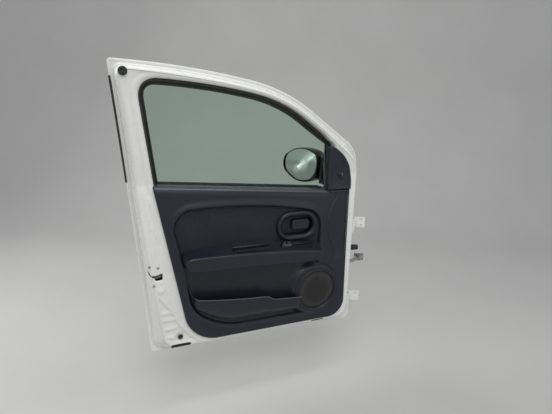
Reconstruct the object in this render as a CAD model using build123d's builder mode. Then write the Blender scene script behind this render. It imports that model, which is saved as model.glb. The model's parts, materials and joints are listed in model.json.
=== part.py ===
"""Front left door of a city car, open on its hinges.

The door is drawn in its own directions: X forward, Y outboard, Z up, in millimetres.
Sketch coordinates start at the hinge axis, level with the lower rear corner of the door.
The origin of the whole part is the middle of the upper hinge's pillar face.
"""

import os
from collections import namedtuple
from math import atan, atan2, cos, degrees, radians, sin

from build123d import *

os.makedirs("parts", exist_ok=True)

# Opening and hinges
OPEN_DEG = 64.0
HINGE_LEVELS = {"upper": 447.0, "lower": 81.0}
HINGE_TALL = 52.0
PILLAR_REACH = 38.0
PILLAR_INBOARD = 34.0
PILLAR_WIDE = 50.0
PILLAR_TALL = 48.0
LEAF = 5.0
KNUCKLE_R = 9.0
KNUCKLE_TALL = 24.0
PIN_R = 4.0
PIN_GAP = 0.05
SIDE_GAP = 0.5
PILLAR_BOLT_R = 4.5
PILLAR_BOLT_PITCH = 28.0
PILLAR_BOLT_INBOARD = 42.0

# Sheet metal
SHEET = 1.5
BELT = 690.0
FACE_Y = -45.0
REACH_Y = 60.0
FACE_LEAN = 0.18
SKIN_LEAN = 0.268
HEM_FOLD = 9.0

# Belt line at the glass
BELT_REAR_X = -841.0
BELT_DROP = 8.0
BELT_FALL = 58 / 687

# Glass
GLASS = 4.0
GLASS_Y = 20.0
GLASS_LEAN = 0.2076
GLASS_BOW = 4.0
RUN_WIDE = 14.0
RUN_DEEP = 8.0
CORRIDOR = 12.0

# Trim, measured inboard from the face of the panel
TRIM_THICK = 12.0
TRIM_FLOOR = 5.0
RIDGE = 4.5
INSERT_THICK = 2.5
ARMREST_DEEP = 67.0
POCKET_DEEP = 45.0
POCKET_WALL = 4.0
TRIM_Y = FACE_Y - TRIM_THICK
FLOOR_Y = FACE_Y - TRIM_FLOOR

# Places on the door
CUP = (-313, BELT - 192)
CUP_SIZE = (154, 94)
BEZEL_EDGE = 18.0
BEZEL_WALL = 3.0
CUP_BACK = FACE_Y + 13
LEVER_GAP = 0.3
SPEAKER = (-210, 195)
SPEAKER_R = 84.0
POD_TOP_R = 103.0
POD_FOOT = (-226, 202)
POD_FOOT_R = 128.0
POD_TALL = 24.0
HANDLE = (-800, BELT - 124)
HANDLE_HOLE = (120, 64)
LOCK_X = -892
LOCK_R = 11.5
STOP = (-944, BELT + 376)
PLUG = (-798, 90)
LATCH_Z = 347.0
LATCH_TALL = 54.0
MOUTH_TALL = 16.0
BOOT_Z = 345.0

# Door check
CHECK = (-20, -22, 278)
CHECK_PIVOT = (23, -44)
CHECK_SLOT = (26, 24)
CHECK_BOLT_R = 3.3
ARM_LONG = 96.0
ARM_THICK = 6.0
ARM_TALL = 14.0

# Mirror
MIRROR = (-180, 170, BELT + 12)
FOLD = (-112, 90)
FOLD_Z = BELT - 54
FOLD_R = 29.0
FOLD_TALL = 116.0
AIM = 28.0

LEFT, RIGHT = -1010.0, 60.0
FAR = 400.0


def turn(x, y, angle):
    """A plan point turned about the hinge axis."""
    a = radians(angle)
    return x * cos(a) - y * sin(a), x * sin(a) + y * cos(a)


# Where the hinge axis stands from the origin
FACE_POINT = turn(PILLAR_REACH, -PILLAR_INBOARD, OPEN_DEG)
DATUM = Vector(-FACE_POINT[0], -FACE_POINT[1], -HINGE_LEVELS["upper"])


def side(y=0.0, base=0.0, lean=0.0):
    """Plane along the door at a depth: sketch X forward, sketch Y up, facing inboard."""
    upright = Vector(0, -lean, 1)
    return Plane(
        origin=DATUM + Vector(0, y, base),
        x_dir=(1, 0, 0),
        z_dir=Vector(1, 0, 0).cross(upright),
    )


def cross(x=0.0):
    """Plane across the door: sketch X outboard, sketch Y up, facing forward."""
    return Plane(origin=DATUM + Vector(x, 0, 0), x_dir=(0, 1, 0), z_dir=(1, 0, 0))


def level(z=0.0, x=0.0, y=0.0, angle=0.0):
    """Level plane: sketch X forward and sketch Y outboard, turned about Z."""
    ahead = turn(1, 0, angle)
    return Plane(origin=DATUM + Vector(x, y, z), x_dir=(*ahead, 0), z_dir=(0, 0, 1))


def outline(plane, start, steps, rounds=(), base=0.0, stretch=1.0):
    """Closed outline: a step is a line's end, or an arc's middle and end, or "on" and an end."""

    def local(point):
        return Vector(point[0], (point[1] - base) * stretch)

    with BuildSketch(plane) as drawn:
        with BuildLine() as path:
            here = start
            for step in steps:
                if step[0] == "on":
                    TangentArc(local(here), local(step[1]), tangent=path.line.edges()[-1] % 1)
                    here = step[1]
                elif isinstance(step[0], tuple):
                    ThreePointArc(local(here), local(step[0]), local(step[1]))
                    here = step[1]
                else:
                    Line(local(here), local(step))
                    here = step
            if here != start:
                Line(local(here), local(start))
        make_face()
        for corner, radius in rounds:
            fillet(drawn.vertices().sort_by_distance(local(corner))[0], radius=radius)
    return drawn.sketch


def grown(sketch, amount):
    """The outline moved outwards, or inwards if negative."""
    if not amount:
        return sketch
    return offset(sketch, amount=amount, kind=Kind.TANGENT, mode=Mode.PRIVATE)


def moulded(draw, steps):
    """A form with rounded edges: its outline at each depth, grown by the amount beside it."""
    sections = [grown(draw(side(y)), amount) for amount, y in steps]
    return loft(sections, ruled=True, mode=Mode.PRIVATE)


# Outlines along the door
def hem_outline(plane):
    return outline(
        plane,
        (-894, -6),
        [
            ((-934, 540), (-990, BELT + 409)),
            ((-698, BELT + 387), (-476, BELT + 325)),
            ("on", (-116, BELT + 128)),
            ("on", (8, BELT - 20)),
            ("on", (34, BELT - 126)),
            (30, -34),
        ],
        rounds=[((-894, -6), 10), ((-990, BELT + 409), 12), ((30, -34), 30)],
    )


def window_outline(plane, base=0.0, stretch=1.0):
    return outline(
        plane,
        (BELT_REAR_X, BELT - BELT_DROP),
        [
            (-889, BELT + 348),
            ((-733, BELT + 326), (-580, BELT + 290)),
            ("on", (-170, BELT + 66)),
            (-154, BELT - 66),
        ],
        rounds=[((-889, BELT + 348), 45), ((-170, BELT + 66), 6)],
        base=base,
        stretch=stretch,
    )


# Corners of the panel's box, seen from inside the car: where each stands on the inner face,
# where its wall reaches the outer skin, which way is inwards, and the radii there
Corner = namedtuple("Corner", "face reach inward radii", defaults=((0, 0),))
LOWER_BOX = dict(
    belt_rear=Corner((-926, BELT), (-935, BELT), (1, 0)),
    belt_front=Corner((-30, BELT), (-15, BELT), (-1, 0)),
    hinge_top=Corner((-28, BELT - 130), (-4, BELT - 130), (-1, 0)),
    toe=Corner((-28, 48), (-4, -6), (-1, 1), (60, 44)),
    heel=Corner((-843, 42), (-882, 4), (1, 1), (34, 24)),
    rear_middle=Corner((-890, 350), (-904, 350), (1, 0)),
)
UPPER_BOX = dict(
    belt_rear=Corner((-926, BELT), (-935, BELT), (1, 0)),
    rear_middle=Corner((-946, BELT + 190), (-955, BELT + 190), (1, 0)),
    peak=Corner((-972, BELT + 392), (-977, BELT + 396), (1, -1), (20, 18)),
    roof_middle=Corner((-700, BELT + 368), (-699, BELT + 373), (0, -1)),
    roof_end=Corner((-480, BELT + 307), (-478, BELT + 311), (-0.3, -0.95)),
    pillar_end=Corner((-130, BELT + 113), (-128, BELT + 111), (-0.6, -0.8)),
    nose_middle=Corner((-64, BELT + 46), (-56, BELT + 52), (-0.8, -0.6)),
    belt_front=Corner((-30, BELT), (-15, BELT), (-1, 0)),
)
# How far the rounded edge of the face has come in at each depth
ROUNDED_EDGE = [(7, 0), (2, 2), (0, 7)]


def door_tub(inset):
    """The box of the inner panel, from its face to past the skin, smaller all round by the inset."""
    depths = [*ROUNDED_EDGE, (0, REACH_Y - FACE_Y)]

    def section(box, rounding, depth, lean, draw):
        share = depth / (REACH_Y - FACE_Y)
        spot = {}
        for name, corner in box.items():
            near, far, inward = Vector(*corner.face), Vector(*corner.reach), Vector(*corner.inward)
            point = near + (far - near) * share + inward * (inset + rounding)
            spot[name] = (point.X, point.Y)
        radius = {
            name: corner.radii[0] + (corner.radii[1] - corner.radii[0]) * share
            for name, corner in box.items() if corner.radii[0]
        }
        return outline(
            side(FACE_Y + depth + inset, BELT if lean else 0, lean),
            spot["belt_rear"],
            draw(spot),
            rounds=[(spot[name], value) for name, value in radius.items()],
            base=BELT if lean else 0,
            stretch=1 / cos(atan(lean)),
        )

    def lower_steps(at):
        return [at["belt_front"], at["hinge_top"], at["toe"], at["heel"],
                (at["rear_middle"], at["belt_rear"])]

    def upper_steps(at):
        return [(at["rear_middle"], at["peak"]), (at["roof_middle"], at["roof_end"]),
                ("on", at["pillar_end"]), (at["nose_middle"], at["belt_front"])]

    with BuildPart() as tub:
        loft([section(LOWER_BOX, *depth, 0, lower_steps) for depth in depths], ruled=True)
        loft([
            section(UPPER_BOX, rounding, depth,
                    FACE_LEAN + (SKIN_LEAN - FACE_LEAN) * depth / (REACH_Y - FACE_Y), upper_steps)
            for rounding, depth in depths
        ], ruled=True)
    return tub.part


# Rolled edge of the window opening: how far it has widened at each depth from the face
WINDOW_ROLL = [(10, -FAR / 2), (10, 0), (4, 2), (0, 8), (0, FAR / 2)]


def window_well(wider):
    """The opening for the window through the panel, with its rolled edge on the face."""
    stretch = 1 / cos(atan(FACE_LEAN))
    sections = [
        grown(
            window_outline(side(FACE_Y + depth, BELT, FACE_LEAN), BELT, stretch),
            RUN_WIDE + roll + wider,
        )
        for roll, depth in WINDOW_ROLL
    ]
    return loft(sections, ruled=True, mode=Mode.PRIVATE)


def behind_skin(depth):
    """Everything inboard of the outer surface, moved in by the depth."""
    with BuildPart() as space:
        with BuildSketch(cross(LEFT)) as section:
            with BuildLine() as edge:
                ThreePointArc((14, -80), (62, 330), (44, BELT))
                ThreePointArc((44, BELT), (-8.5, BELT + 211), (-71, BELT + 430))
                Polyline((-71, BELT + 430), (-FAR, BELT + 430), (-FAR, -80), (14, -80))
            make_face()
        extrude(grown(section.sketch, -depth), amount=RIGHT - LEFT)
    return space.part


def prism(sketch):
    """An outline on the side plane carried right through the door."""
    return extrude(sketch, amount=FAR / 2, both=True, mode=Mode.PRIVATE)


def finish(piece, name):
    piece.part.label = name
    export_step(piece.part, f"parts/{name}.step")


def slab(near, far, x_low=LEFT, x_high=RIGHT):
    """A layer that follows the glass, between two offsets outboard of its middle."""
    with BuildPart() as layer:
        with BuildSketch(cross(x_low)) as section:
            with BuildLine() as edge:
                low, middle, high = [
                    Vector(GLASS_Y - (rise + 50) * GLASS_LEAN + bow, BELT + rise)
                    for rise, bow in ((-130, 1 - GLASS_BOW), (130, GLASS_BOW), (390, 1 - GLASS_BOW))
                ]
                ThreePointArc(low + (near, 0), middle + (near, 0), high + (near, 0))
                Line(high + (near, 0), high + (far, 0))
                ThreePointArc(high + (far, 0), middle + (far, 0), low + (far, 0))
                Line(low + (far, 0), low + (near, 0))
            make_face()
        extrude(section.sketch, amount=x_high - x_low)
    return layer.part


def face_layer(near, far):
    """A layer that follows the panel's face, between two offsets inboard of it."""
    top = BELT + 420
    lean = FACE_LEAN * (top - BELT)
    with BuildPart() as layer:
        with BuildSketch(cross(LEFT)) as section:
            with BuildLine() as edge:
                Polyline(
                    (FACE_Y - near, 0), (FACE_Y - near, BELT), (FACE_Y - lean - near, top),
                    (FACE_Y - lean - far, top), (FACE_Y - far, BELT), (FACE_Y - far, 0),
                    close=True,
                )
            make_face()
        extrude(section.sketch, amount=RIGHT - LEFT)
    return layer.part


def stadium(plane, centre, length, height):
    with BuildSketch(plane) as shape:
        with Locations(centre):
            SlotOverall(length, height)
    return shape.sketch


def disc(plane, centre, radius):
    with BuildSketch(plane) as shape:
        with Locations(centre):
            Circle(radius)
    return shape.sketch


def block(x, y, z):
    """A plain box between two X, two Y and two Z values."""
    with BuildSketch(level(z[0])) as base:
        with Locations(((x[0] + x[1]) / 2, (y[0] + y[1]) / 2)):
            Rectangle(x[1] - x[0], y[1] - y[0])
    return extrude(base.sketch, amount=z[1] - z[0], mode=Mode.PRIVATE)


def turned(centre, profile):
    """A ring or disc turned about an axis across the door: radius and depth of each corner."""
    with BuildSketch(cross(centre[0])) as section:
        with BuildLine():
            Polyline(*[(y, centre[1] + radius) for radius, y in profile], close=True)
        make_face()
    about = Axis(DATUM + Vector(centre[0], 0, centre[1]), (0, 1, 0))
    return revolve(section.sketch, axis=about, mode=Mode.PRIVATE)


skin_outer = behind_skin(0)
skin_inner = behind_skin(SHEET)
flange_inner = behind_skin(2 * SHEET)
fold_inner = behind_skin(3 * SHEET)
hem = prism(hem_outline(side()))
hem_inside = prism(grown(hem_outline(side()), -SHEET))
hem_open = prism(grown(hem_outline(side()), -HEM_FOLD))
well = window_well(0)
skin_hole = prism(grown(window_outline(side()), RUN_DEEP))


def belt(x, above=0.0):
    """The height of the belt line, or of a line beside it."""
    return BELT - BELT_DROP - (x - BELT_REAR_X) * BELT_FALL + above


def belt_band(low, high, x_low=LEFT, x_high=RIGHT):
    """A band along the belt line, right through the door."""
    corners = [(x_low, high), (x_high, high), (x_high, low), (x_low, low)]
    points = [(x, belt(x, rise)) for x, rise in corners]
    return prism(outline(side(), points[0], points[1:]))


below_belt = belt_band(-120, 0)

# Pressed beads and drain holes at the lower rear of the panel: centre, length, height, turn
Bead = namedtuple("Bead", "x z long tall turn")
BEADS = [
    Bead(-833, 188, 34, 12, 0), Bead(-832, 157, 40, 12, 3),
    Bead(-828, 119, 42, 13, -2), Bead(-853, 285, 18, 17.9, 0),
]
BEAD_HIGH = 3.0
BEAD_SLOPE = 40.0
DRAINS = [(-787, 78), (-121, 54)]
DRAIN_DEEP = 9.0

# Inner panel
with BuildPart() as inner_panel:
    add(door_tub(0))
    add(hem_inside & (skin_inner - flange_inner))
    add(skin_inner, mode=Mode.INTERSECT)
    add(door_tub(SHEET) - window_well(SHEET), mode=Mode.SUBTRACT)
    add(well, mode=Mode.SUBTRACT)
    add(slab(-CORRIDOR, CORRIDOR, -890, -150) & below_belt, mode=Mode.SUBTRACT)
    extrude(stadium(side(), CUP, CUP_SIZE[0] + 22, CUP_SIZE[1] + 22), amount=60, mode=Mode.SUBTRACT)
    extrude(disc(side(), SPEAKER, SPEAKER_R + 2), amount=60, mode=Mode.SUBTRACT)
    add(block((-925, -850), (FACE_Y - 1, -8), (LATCH_Z - LATCH_TALL / 2 - 1, LATCH_Z + LATCH_TALL / 2 + 1)),
        mode=Mode.SUBTRACT)
    extrude(disc(side(FACE_Y - 20), PLUG, 8), amount=-40, mode=Mode.SUBTRACT)
    add(block(
        (-40, 10),
        (CHECK[1] - CHECK_SLOT[0] / 2, CHECK[1] + CHECK_SLOT[0] / 2),
        (CHECK[2] - CHECK_SLOT[1] / 2, CHECK[2] + CHECK_SLOT[1] / 2),
    ), mode=Mode.SUBTRACT)
    for x, length in DRAINS:
        add(block((x - length / 2, x + length / 2), (0, DRAIN_DEEP), (0, 60)), mode=Mode.SUBTRACT)
    for bead in BEADS:
        with BuildSketch(side(FACE_Y)):
            with Locations((bead.x, bead.z)):
                SlotOverall(bead.long, bead.tall, rotation=bead.turn)
        extrude(amount=BEAD_HIGH, taper=BEAD_SLOPE)
finish(inner_panel, "inner_panel")

# Outer skin, folded round the panel's flange
with BuildPart() as outer_skin:
    add(hem & (skin_outer - skin_inner))
    add((hem - hem_inside) & (skin_outer - fold_inner))
    add((hem - hem_open) & (flange_inner - fold_inner))
    add(skin_hole, mode=Mode.SUBTRACT)
    extrude(stadium(side(), HANDLE, *HANDLE_HOLE), amount=-FAR, mode=Mode.SUBTRACT)
    extrude(disc(side(), (LOCK_X, HANDLE[1]), LOCK_R + 0.5), amount=-FAR, mode=Mode.SUBTRACT)
finish(outer_skin, "outer_skin")

# Glass and its seals
with BuildPart() as door_glass:
    add(prism(grown(window_outline(side()), RUN_DEEP - 1)) + belt_band(-70, 5, -845, -165))
    add(slab(-GLASS / 2, GLASS / 2), mode=Mode.INTERSECT)
finish(door_glass, "door_glass")

with BuildPart() as glass_run:
    add(well - prism(window_outline(side())))
    add(slab(-26, 10), mode=Mode.INTERSECT)
    add(slab(-GLASS / 2, GLASS / 2) & prism(grown(window_outline(side()), RUN_DEEP)),
        mode=Mode.SUBTRACT)
    add(below_belt, mode=Mode.SUBTRACT)
finish(glass_run, "glass_run")

with BuildPart() as belt_seal_inner:
    add(belt_band(-14, 0, -846, -164) & slab(-9, -GLASS / 2))
finish(belt_seal_inner, "belt_seal_inner")

with BuildPart() as belt_seal_outer:
    add(belt_band(-8, 0, -846, -164) & (slab(GLASS / 2, 60) & skin_outer))
finish(belt_seal_outer, "belt_seal_outer")

with BuildPart() as pillar_applique:
    add(behind_skin(-2.5) - skin_outer)
    add(prism(outline(
        side(),
        (-949, BELT - 5),
        [(-994, BELT + 360), (-903, BELT + 372), (-852, BELT - 5)],
    )), mode=Mode.INTERSECT)
finish(pillar_applique, "pillar_applique")


# Door card
def trim_outline(plane):
    return outline(
        plane,
        (-857, belt(-857)),
        [
            (-787, 283),
            ((-727, 140), (-600, 51)),
            (-145, 62),
            ((-74, 96), (-46, 160)),
            ((-37, 400), (-56, belt(-56) + 10)),
            (-164, belt(-164)),
        ],
    )


def recess_outline(plane):
    """Crest of the soft ridge round the insert, the armrest and the pocket."""
    return outline(
        plane,
        (-736, BELT - 92),
        [
            ((-500, BELT - 96), (-262, BELT - 130)),
            ("on", (-196, BELT - 212)),
            (-206, 86),
            (-540, 92),
            ("on", (-704, 150)),
            ("on", (-757, 245)),
            ("on", (-806, 500)),
            ("on", (-736, BELT - 92)),
        ],
    )


def armrest_outline(plane, fall):
    """The armrest at one depth, with its top lowered by the fall."""
    rear = (-782 + fall / 2, BELT - 256 - fall / 2)
    return outline(
        plane,
        rear,
        [
            ((-530, BELT - 247 - fall), (-314, BELT - 260 - fall)),
            (-196 - fall / 2, BELT - 279 - fall),
            (-200 - fall / 2, BELT - 342),
            ((-500, BELT - 336), (-770, BELT - 326)),
        ],
        rounds=[(rear, 24), ((-770, BELT - 326), 22), ((-200 - fall / 2, BELT - 342), 16)],
    )


# Rounded rims: growth of the outline and height above its seat
TRIM_RIM = [(0, 0), (0, TRIM_THICK - 6), (-2, TRIM_THICK - 2), (-6, TRIM_THICK)]
RIDGE_OUT = [(14, -1), (8, RIDGE - 1.5), (3, RIDGE)]
RIDGE_IN = [(3, RIDGE + 1), (3, RIDGE), (-3, 0), (-9, TRIM_FLOOR - TRIM_THICK)]
# The same with how far the armrest's top has fallen
ARMREST_RIM = [(0, 0, 0), (0, ARMREST_DEEP - 14, 19), (-2, ARMREST_DEEP - 5, 22), (-8, ARMREST_DEEP, 23)]


def rising(steps, seat):
    """A rim's steps as depths inboard of its seat."""
    return [(amount, seat - height) for amount, height in steps]


with BuildPart() as trim_panel:
    add(moulded(trim_outline, rising(TRIM_RIM, FACE_Y)))
    add(belt_band(-4, 0, -846, -164) & (slab(-60, -9) & prism(trim_outline(side()))))
    add(moulded(recess_outline, rising(RIDGE_OUT, TRIM_Y)))
    add(moulded(recess_outline, rising(RIDGE_IN, TRIM_Y)), mode=Mode.SUBTRACT)
    extrude(disc(side(FLOOR_Y), POD_FOOT, POD_FOOT_R), amount=FAR, mode=Mode.SUBTRACT)
    extrude(stadium(side(), CUP, CUP_SIZE[0] + 14, CUP_SIZE[1] + 14), amount=80, mode=Mode.SUBTRACT)
    extrude(disc(side(), SPEAKER, SPEAKER_R + 2), amount=80, mode=Mode.SUBTRACT)
finish(trim_panel, "trim_panel")

with BuildPart() as handle_bezel:
    extrude(stadium(side(FLOOR_Y), CUP, CUP_SIZE[0] + 2 * BEZEL_EDGE, CUP_SIZE[1] + 2 * BEZEL_EDGE),
            amount=16, taper=30)
    extrude(stadium(side(CUP_BACK), CUP, CUP_SIZE[0] + 2 * BEZEL_WALL, CUP_SIZE[1] + 2 * BEZEL_WALL),
            amount=CUP_BACK - FLOOR_Y)
    add(trim_panel.part, mode=Mode.SUBTRACT)
    extrude(stadium(side(CUP_BACK - BEZEL_WALL), CUP, *CUP_SIZE), amount=80, mode=Mode.SUBTRACT)
finish(handle_bezel, "handle_bezel")

LEVER_Y = CUP_BACK - BEZEL_WALL - LEVER_GAP
with BuildPart() as release_lever:
    extrude(stadium(side(LEVER_Y), (CUP[0] + 12, CUP[1]), 116, 60), amount=14, taper=12)
    extrude(stadium(side(LEVER_Y - 11), (CUP[0] - 8, CUP[1]), 60, 40), amount=20, mode=Mode.SUBTRACT)
finish(release_lever, "release_lever")

SLOT_X = (-591, -441)
SLOT_Y = (FACE_Y - 56, FACE_Y - 30)
SLOT_FLOOR = BELT - 298
SWITCH = ((-392, -346), (FACE_Y - 54, FACE_Y - 33), (BELT - 280, BELT - 260))
with BuildPart() as armrest:
    loft([
        grown(armrest_outline(side(FLOOR_Y - height), fall), amount)
        for amount, height, fall in ARMREST_RIM
    ], ruled=True)
    add(trim_panel.part, mode=Mode.SUBTRACT)
    add(block(SLOT_X, SLOT_Y, (SLOT_FLOOR, BELT)), mode=Mode.SUBTRACT)
finish(armrest, "armrest")

with BuildPart() as window_switch:
    add(block(*SWITCH))
    add(armrest.part, mode=Mode.SUBTRACT)
finish(window_switch, "window_switch")

with BuildPart() as trim_insert:
    extrude(grown(recess_outline(side(FLOOR_Y)), -14), amount=INSERT_THICK)
    add(block((LEFT, RIGHT), (-FAR, 0), (0, BELT - 290)), mode=Mode.SUBTRACT)
    extrude(stadium(side(), CUP, CUP_SIZE[0] + 2 * BEZEL_EDGE + 1, CUP_SIZE[1] + 2 * BEZEL_EDGE + 1),
            amount=80, mode=Mode.SUBTRACT)
    add(armrest.part, mode=Mode.SUBTRACT)
finish(trim_insert, "trim_insert")

# Speaker pod, turned to a rounded ring on a wider foot
POD_Y = FLOOR_Y - POD_TALL
with BuildPart() as speaker_ring:
    loft([disc(side(FLOOR_Y), POD_FOOT, POD_FOOT_R), disc(side(POD_Y), SPEAKER, POD_TOP_R)], ruled=True)
    add(turned(SPEAKER, [
        (SPEAKER_R, POD_Y + 4), (SPEAKER_R + 5, POD_Y - 2), (SPEAKER_R + 12, POD_Y - 4),
        (POD_TOP_R - 3, POD_Y - 2), (POD_TOP_R, POD_Y), (POD_TOP_R, POD_Y + 4),
    ]))
    extrude(disc(side(), SPEAKER, SPEAKER_R), amount=200, mode=Mode.SUBTRACT)
finish(speaker_ring, "speaker_ring")

GRILLE_Y = POD_Y + 7
with BuildPart() as speaker_grille:
    add(turned(SPEAKER, [
        (0, GRILLE_Y), (SPEAKER_R, GRILLE_Y + 2), (SPEAKER_R, GRILLE_Y - 1),
        (SPEAKER_R - 30, GRILLE_Y - 4), (0, GRILLE_Y - 5),
    ]))
finish(speaker_grille, "speaker_grille")


def pocket_outline(plane, lift, open_top=False):
    """The pocket at one depth, with its keel raised by the lift."""
    rear, low_rear, keel = (-728, 250), (-672, 160 + lift), (-520, 122 + lift)
    lip = [(-296, 290)] if open_top else [((-600, 237), (-442, 219)), (-411, 199), (-296, 184)]
    start = (-728, 290) if open_top else rear
    rounds = [] if open_top else [((-411, 199), 10), ((-442, 219), 10)]
    steps = [*lip, (-296, 116 + lift), keel, ("on", low_rear), ("on", rear)]
    return outline(plane, start, steps, rounds=rounds)


# Growth of the outline, depth and lift of the keel, for the outside and the hollow
POCKET_RIM = [(0, 0, 0), (0, POCKET_DEEP - 17, 3), (-2, POCKET_DEEP - 5, 12), (-5, POCKET_DEEP, 22)]
POCKET_HOLLOW = [(0, 0), (POCKET_DEEP - 19, 3), (POCKET_DEEP - POCKET_WALL - 3, 12)]
with BuildPart() as map_pocket:
    loft([
        grown(pocket_outline(side(FLOOR_Y - height), lift), amount)
        for amount, height, lift in POCKET_RIM
    ], ruled=True)
    loft([
        grown(pocket_outline(side(FLOOR_Y - height), lift, open_top=True), -POCKET_WALL)
        for height, lift in POCKET_HOLLOW
    ], ruled=True, mode=Mode.SUBTRACT)
    add(speaker_ring.part, mode=Mode.SUBTRACT)
    extrude(disc(side(), SPEAKER, POD_TOP_R), amount=FAR, mode=Mode.SUBTRACT)
finish(map_pocket, "map_pocket")

# Sail at the front of the window, with a flange that turns in beside the glass
SAIL_FLANGE = 5.0


def sail_outline(plane):
    return outline(
        plane,
        (-172, belt(-172) + 1),
        [
            (-188, BELT + 76),
            ((-184, BELT + 106), (-160, BELT + 119)),
            ((-102, BELT + 76), (-66, BELT + 6)),
            (-58, belt(-58) + 12),
        ],
    )


with BuildPart() as sail_trim:
    add(face_layer(0, TRIM_THICK) & prism(sail_outline(side())))
    add(face_layer(-60, TRIM_THICK) & slab(-120, -27)
        & (prism(sail_outline(side())) - prism(grown(sail_outline(side()), -SAIL_FLANGE)))
        & block((-200, -155), (-FAR, 0), (belt(-172), BELT + 72)))
finish(sail_trim, "sail_trim")

with BuildPart() as mirror_knob:
    extrude(disc(side(FACE_Y - TRIM_THICK - 0.5), (-109, BELT + 5), 13), amount=14, taper=6)
    add(face_layer(TRIM_THICK, FAR / 10), mode=Mode.INTERSECT)
finish(mirror_knob, "mirror_knob")

# Latch, stops and plugs
with BuildPart() as latch:
    add(block((-920, -846), (FACE_Y + 2, 10), (LATCH_Z - LATCH_TALL / 2, LATCH_Z + LATCH_TALL / 2)))
    add(door_tub(SHEET), mode=Mode.INTERSECT)
    add(block((-925, -866), (FACE_Y - 1, -16), (LATCH_Z - MOUTH_TALL / 2, LATCH_Z + MOUTH_TALL / 2)),
        mode=Mode.SUBTRACT)
finish(latch, "latch")

with BuildPart() as rubber_stop:
    extrude(disc(side(FACE_Y - FACE_LEAN * (STOP[1] - BELT) - 9), STOP, 14), amount=-FAR / 10)
    add(face_layer(0, 9), mode=Mode.INTERSECT)
finish(rubber_stop, "rubber_stop")

with BuildPart() as drain_plug:
    extrude(disc(side(FACE_Y), PLUG, 11), amount=3, taper=20)
    extrude(disc(side(FACE_Y + 6), PLUG, 7.9), amount=6)
finish(drain_plug, "drain_plug")

# Outer handle and lock
with BuildPart() as handle_cup:
    extrude(stadium(side(30), HANDLE, HANDLE_HOLE[0] - 1, HANDLE_HOLE[1] - 1), amount=-FAR)
    extrude(stadium(side(34), HANDLE, HANDLE_HOLE[0] - 7, HANDLE_HOLE[1] - 7), amount=-FAR,
            mode=Mode.SUBTRACT)
    add(skin_outer, mode=Mode.INTERSECT)
finish(handle_cup, "handle_cup")

GRIP_TALL = 26.0
with BuildPart() as outer_handle:
    with BuildSketch(level(HANDLE[1] - GRIP_TALL / 2)):
        with BuildLine():
            Line((-882, 50), (-882, 74))
            ThreePointArc((-882, 74), (-798, 98), (-714, 74))
            Polyline((-714, 74), (-714, 50), (-742, 50), (-742, 72))
            ThreePointArc((-742, 72), (-798, 84), (-854, 72))
            Polyline((-854, 72), (-854, 50), (-882, 50))
        make_face()
    extrude(amount=GRIP_TALL)
    fillet(outer_handle.edges().filter_by(GeomType.CIRCLE), radius=4)
    add(skin_outer, mode=Mode.SUBTRACT)
finish(outer_handle, "outer_handle")

with BuildPart() as lock_cylinder:
    extrude(disc(side(40), (LOCK_X, HANDLE[1]), LOCK_R), amount=-FAR)
    add(skin_outer, mode=Mode.INTERSECT)
finish(lock_cylinder, "lock_cylinder")

# Hinges
WALL_FALL = 24 / 105


def wall_x(y, ahead=0.0):
    """The front wall of the panel in plan, or a line beside it."""
    return -28 + (y - FACE_Y) * WALL_FALL + ahead


def across_pillar(x, y, z, radius):
    """A round hole through a pillar plate, seen from the front of the car."""
    spot = turn(x, y, OPEN_DEG)
    ahead = turn(1, 0, OPEN_DEG)
    plane = Plane(origin=DATUM + Vector(*spot, z), z_dir=(*ahead, 0))
    return extrude(disc(plane, (0, 0), radius), amount=2 * LEAF, both=True, mode=Mode.PRIVATE)


for name, z in HINGE_LEVELS.items():
    with BuildPart() as door_leaf:
        with BuildSketch(level(z - HINGE_TALL / 2)):
            with BuildLine():
                Polyline(
                    (wall_x(-38), -38), (wall_x(22), 22), (wall_x(22, LEAF), 22),
                    (2, KNUCKLE_R - 1), (2, -KNUCKLE_R), (wall_x(-14, LEAF), -14),
                    (wall_x(-38, LEAF), -38), close=True,
                )
            make_face()
            Circle(KNUCKLE_R)
            Circle(PIN_R + PIN_GAP, mode=Mode.SUBTRACT)
        extrude(amount=HINGE_TALL)
        middle = (z - KNUCKLE_TALL / 2 - SIDE_GAP, z + KNUCKLE_TALL / 2 + SIDE_GAP)
        add(block((-30, 60), (-60, 60), middle)
            & block((wall_x(-14, LEAF) + 1, 60), (-12, 60), middle), mode=Mode.SUBTRACT)
    finish(door_leaf, f"door_leaf_{name}")

    with BuildPart() as pillar_leaf:
        with BuildSketch(level(z - KNUCKLE_TALL / 2, angle=OPEN_DEG)):
            with BuildLine():
                Polyline(
                    (0, KNUCKLE_R - 3), (PILLAR_REACH - LEAF, KNUCKLE_R - 18),
                    (PILLAR_REACH - LEAF, -22), (-2, -KNUCKLE_R), close=True,
                )
            make_face()
            Circle(KNUCKLE_R)
            Circle(PIN_R + PIN_GAP, mode=Mode.SUBTRACT)
        extrude(amount=KNUCKLE_TALL)
        with BuildSketch(level(z - PILLAR_TALL / 2, angle=OPEN_DEG)):
            with Locations((PILLAR_REACH - LEAF / 2, -PILLAR_INBOARD)):
                Rectangle(LEAF, PILLAR_WIDE)
        extrude(amount=PILLAR_TALL)
        for rise in (-PILLAR_BOLT_PITCH / 2, PILLAR_BOLT_PITCH / 2):
            add(across_pillar(PILLAR_REACH, -PILLAR_BOLT_INBOARD, z + rise, PILLAR_BOLT_R),
                mode=Mode.SUBTRACT)
    finish(pillar_leaf, f"pillar_leaf_{name}")

    with BuildPart() as hinge_pin:
        extrude(disc(level(z - HINGE_TALL / 2 - 2), (0, 0), PIN_R), amount=HINGE_TALL + 4)
    finish(hinge_pin, f"hinge_pin_{name}")

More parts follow.
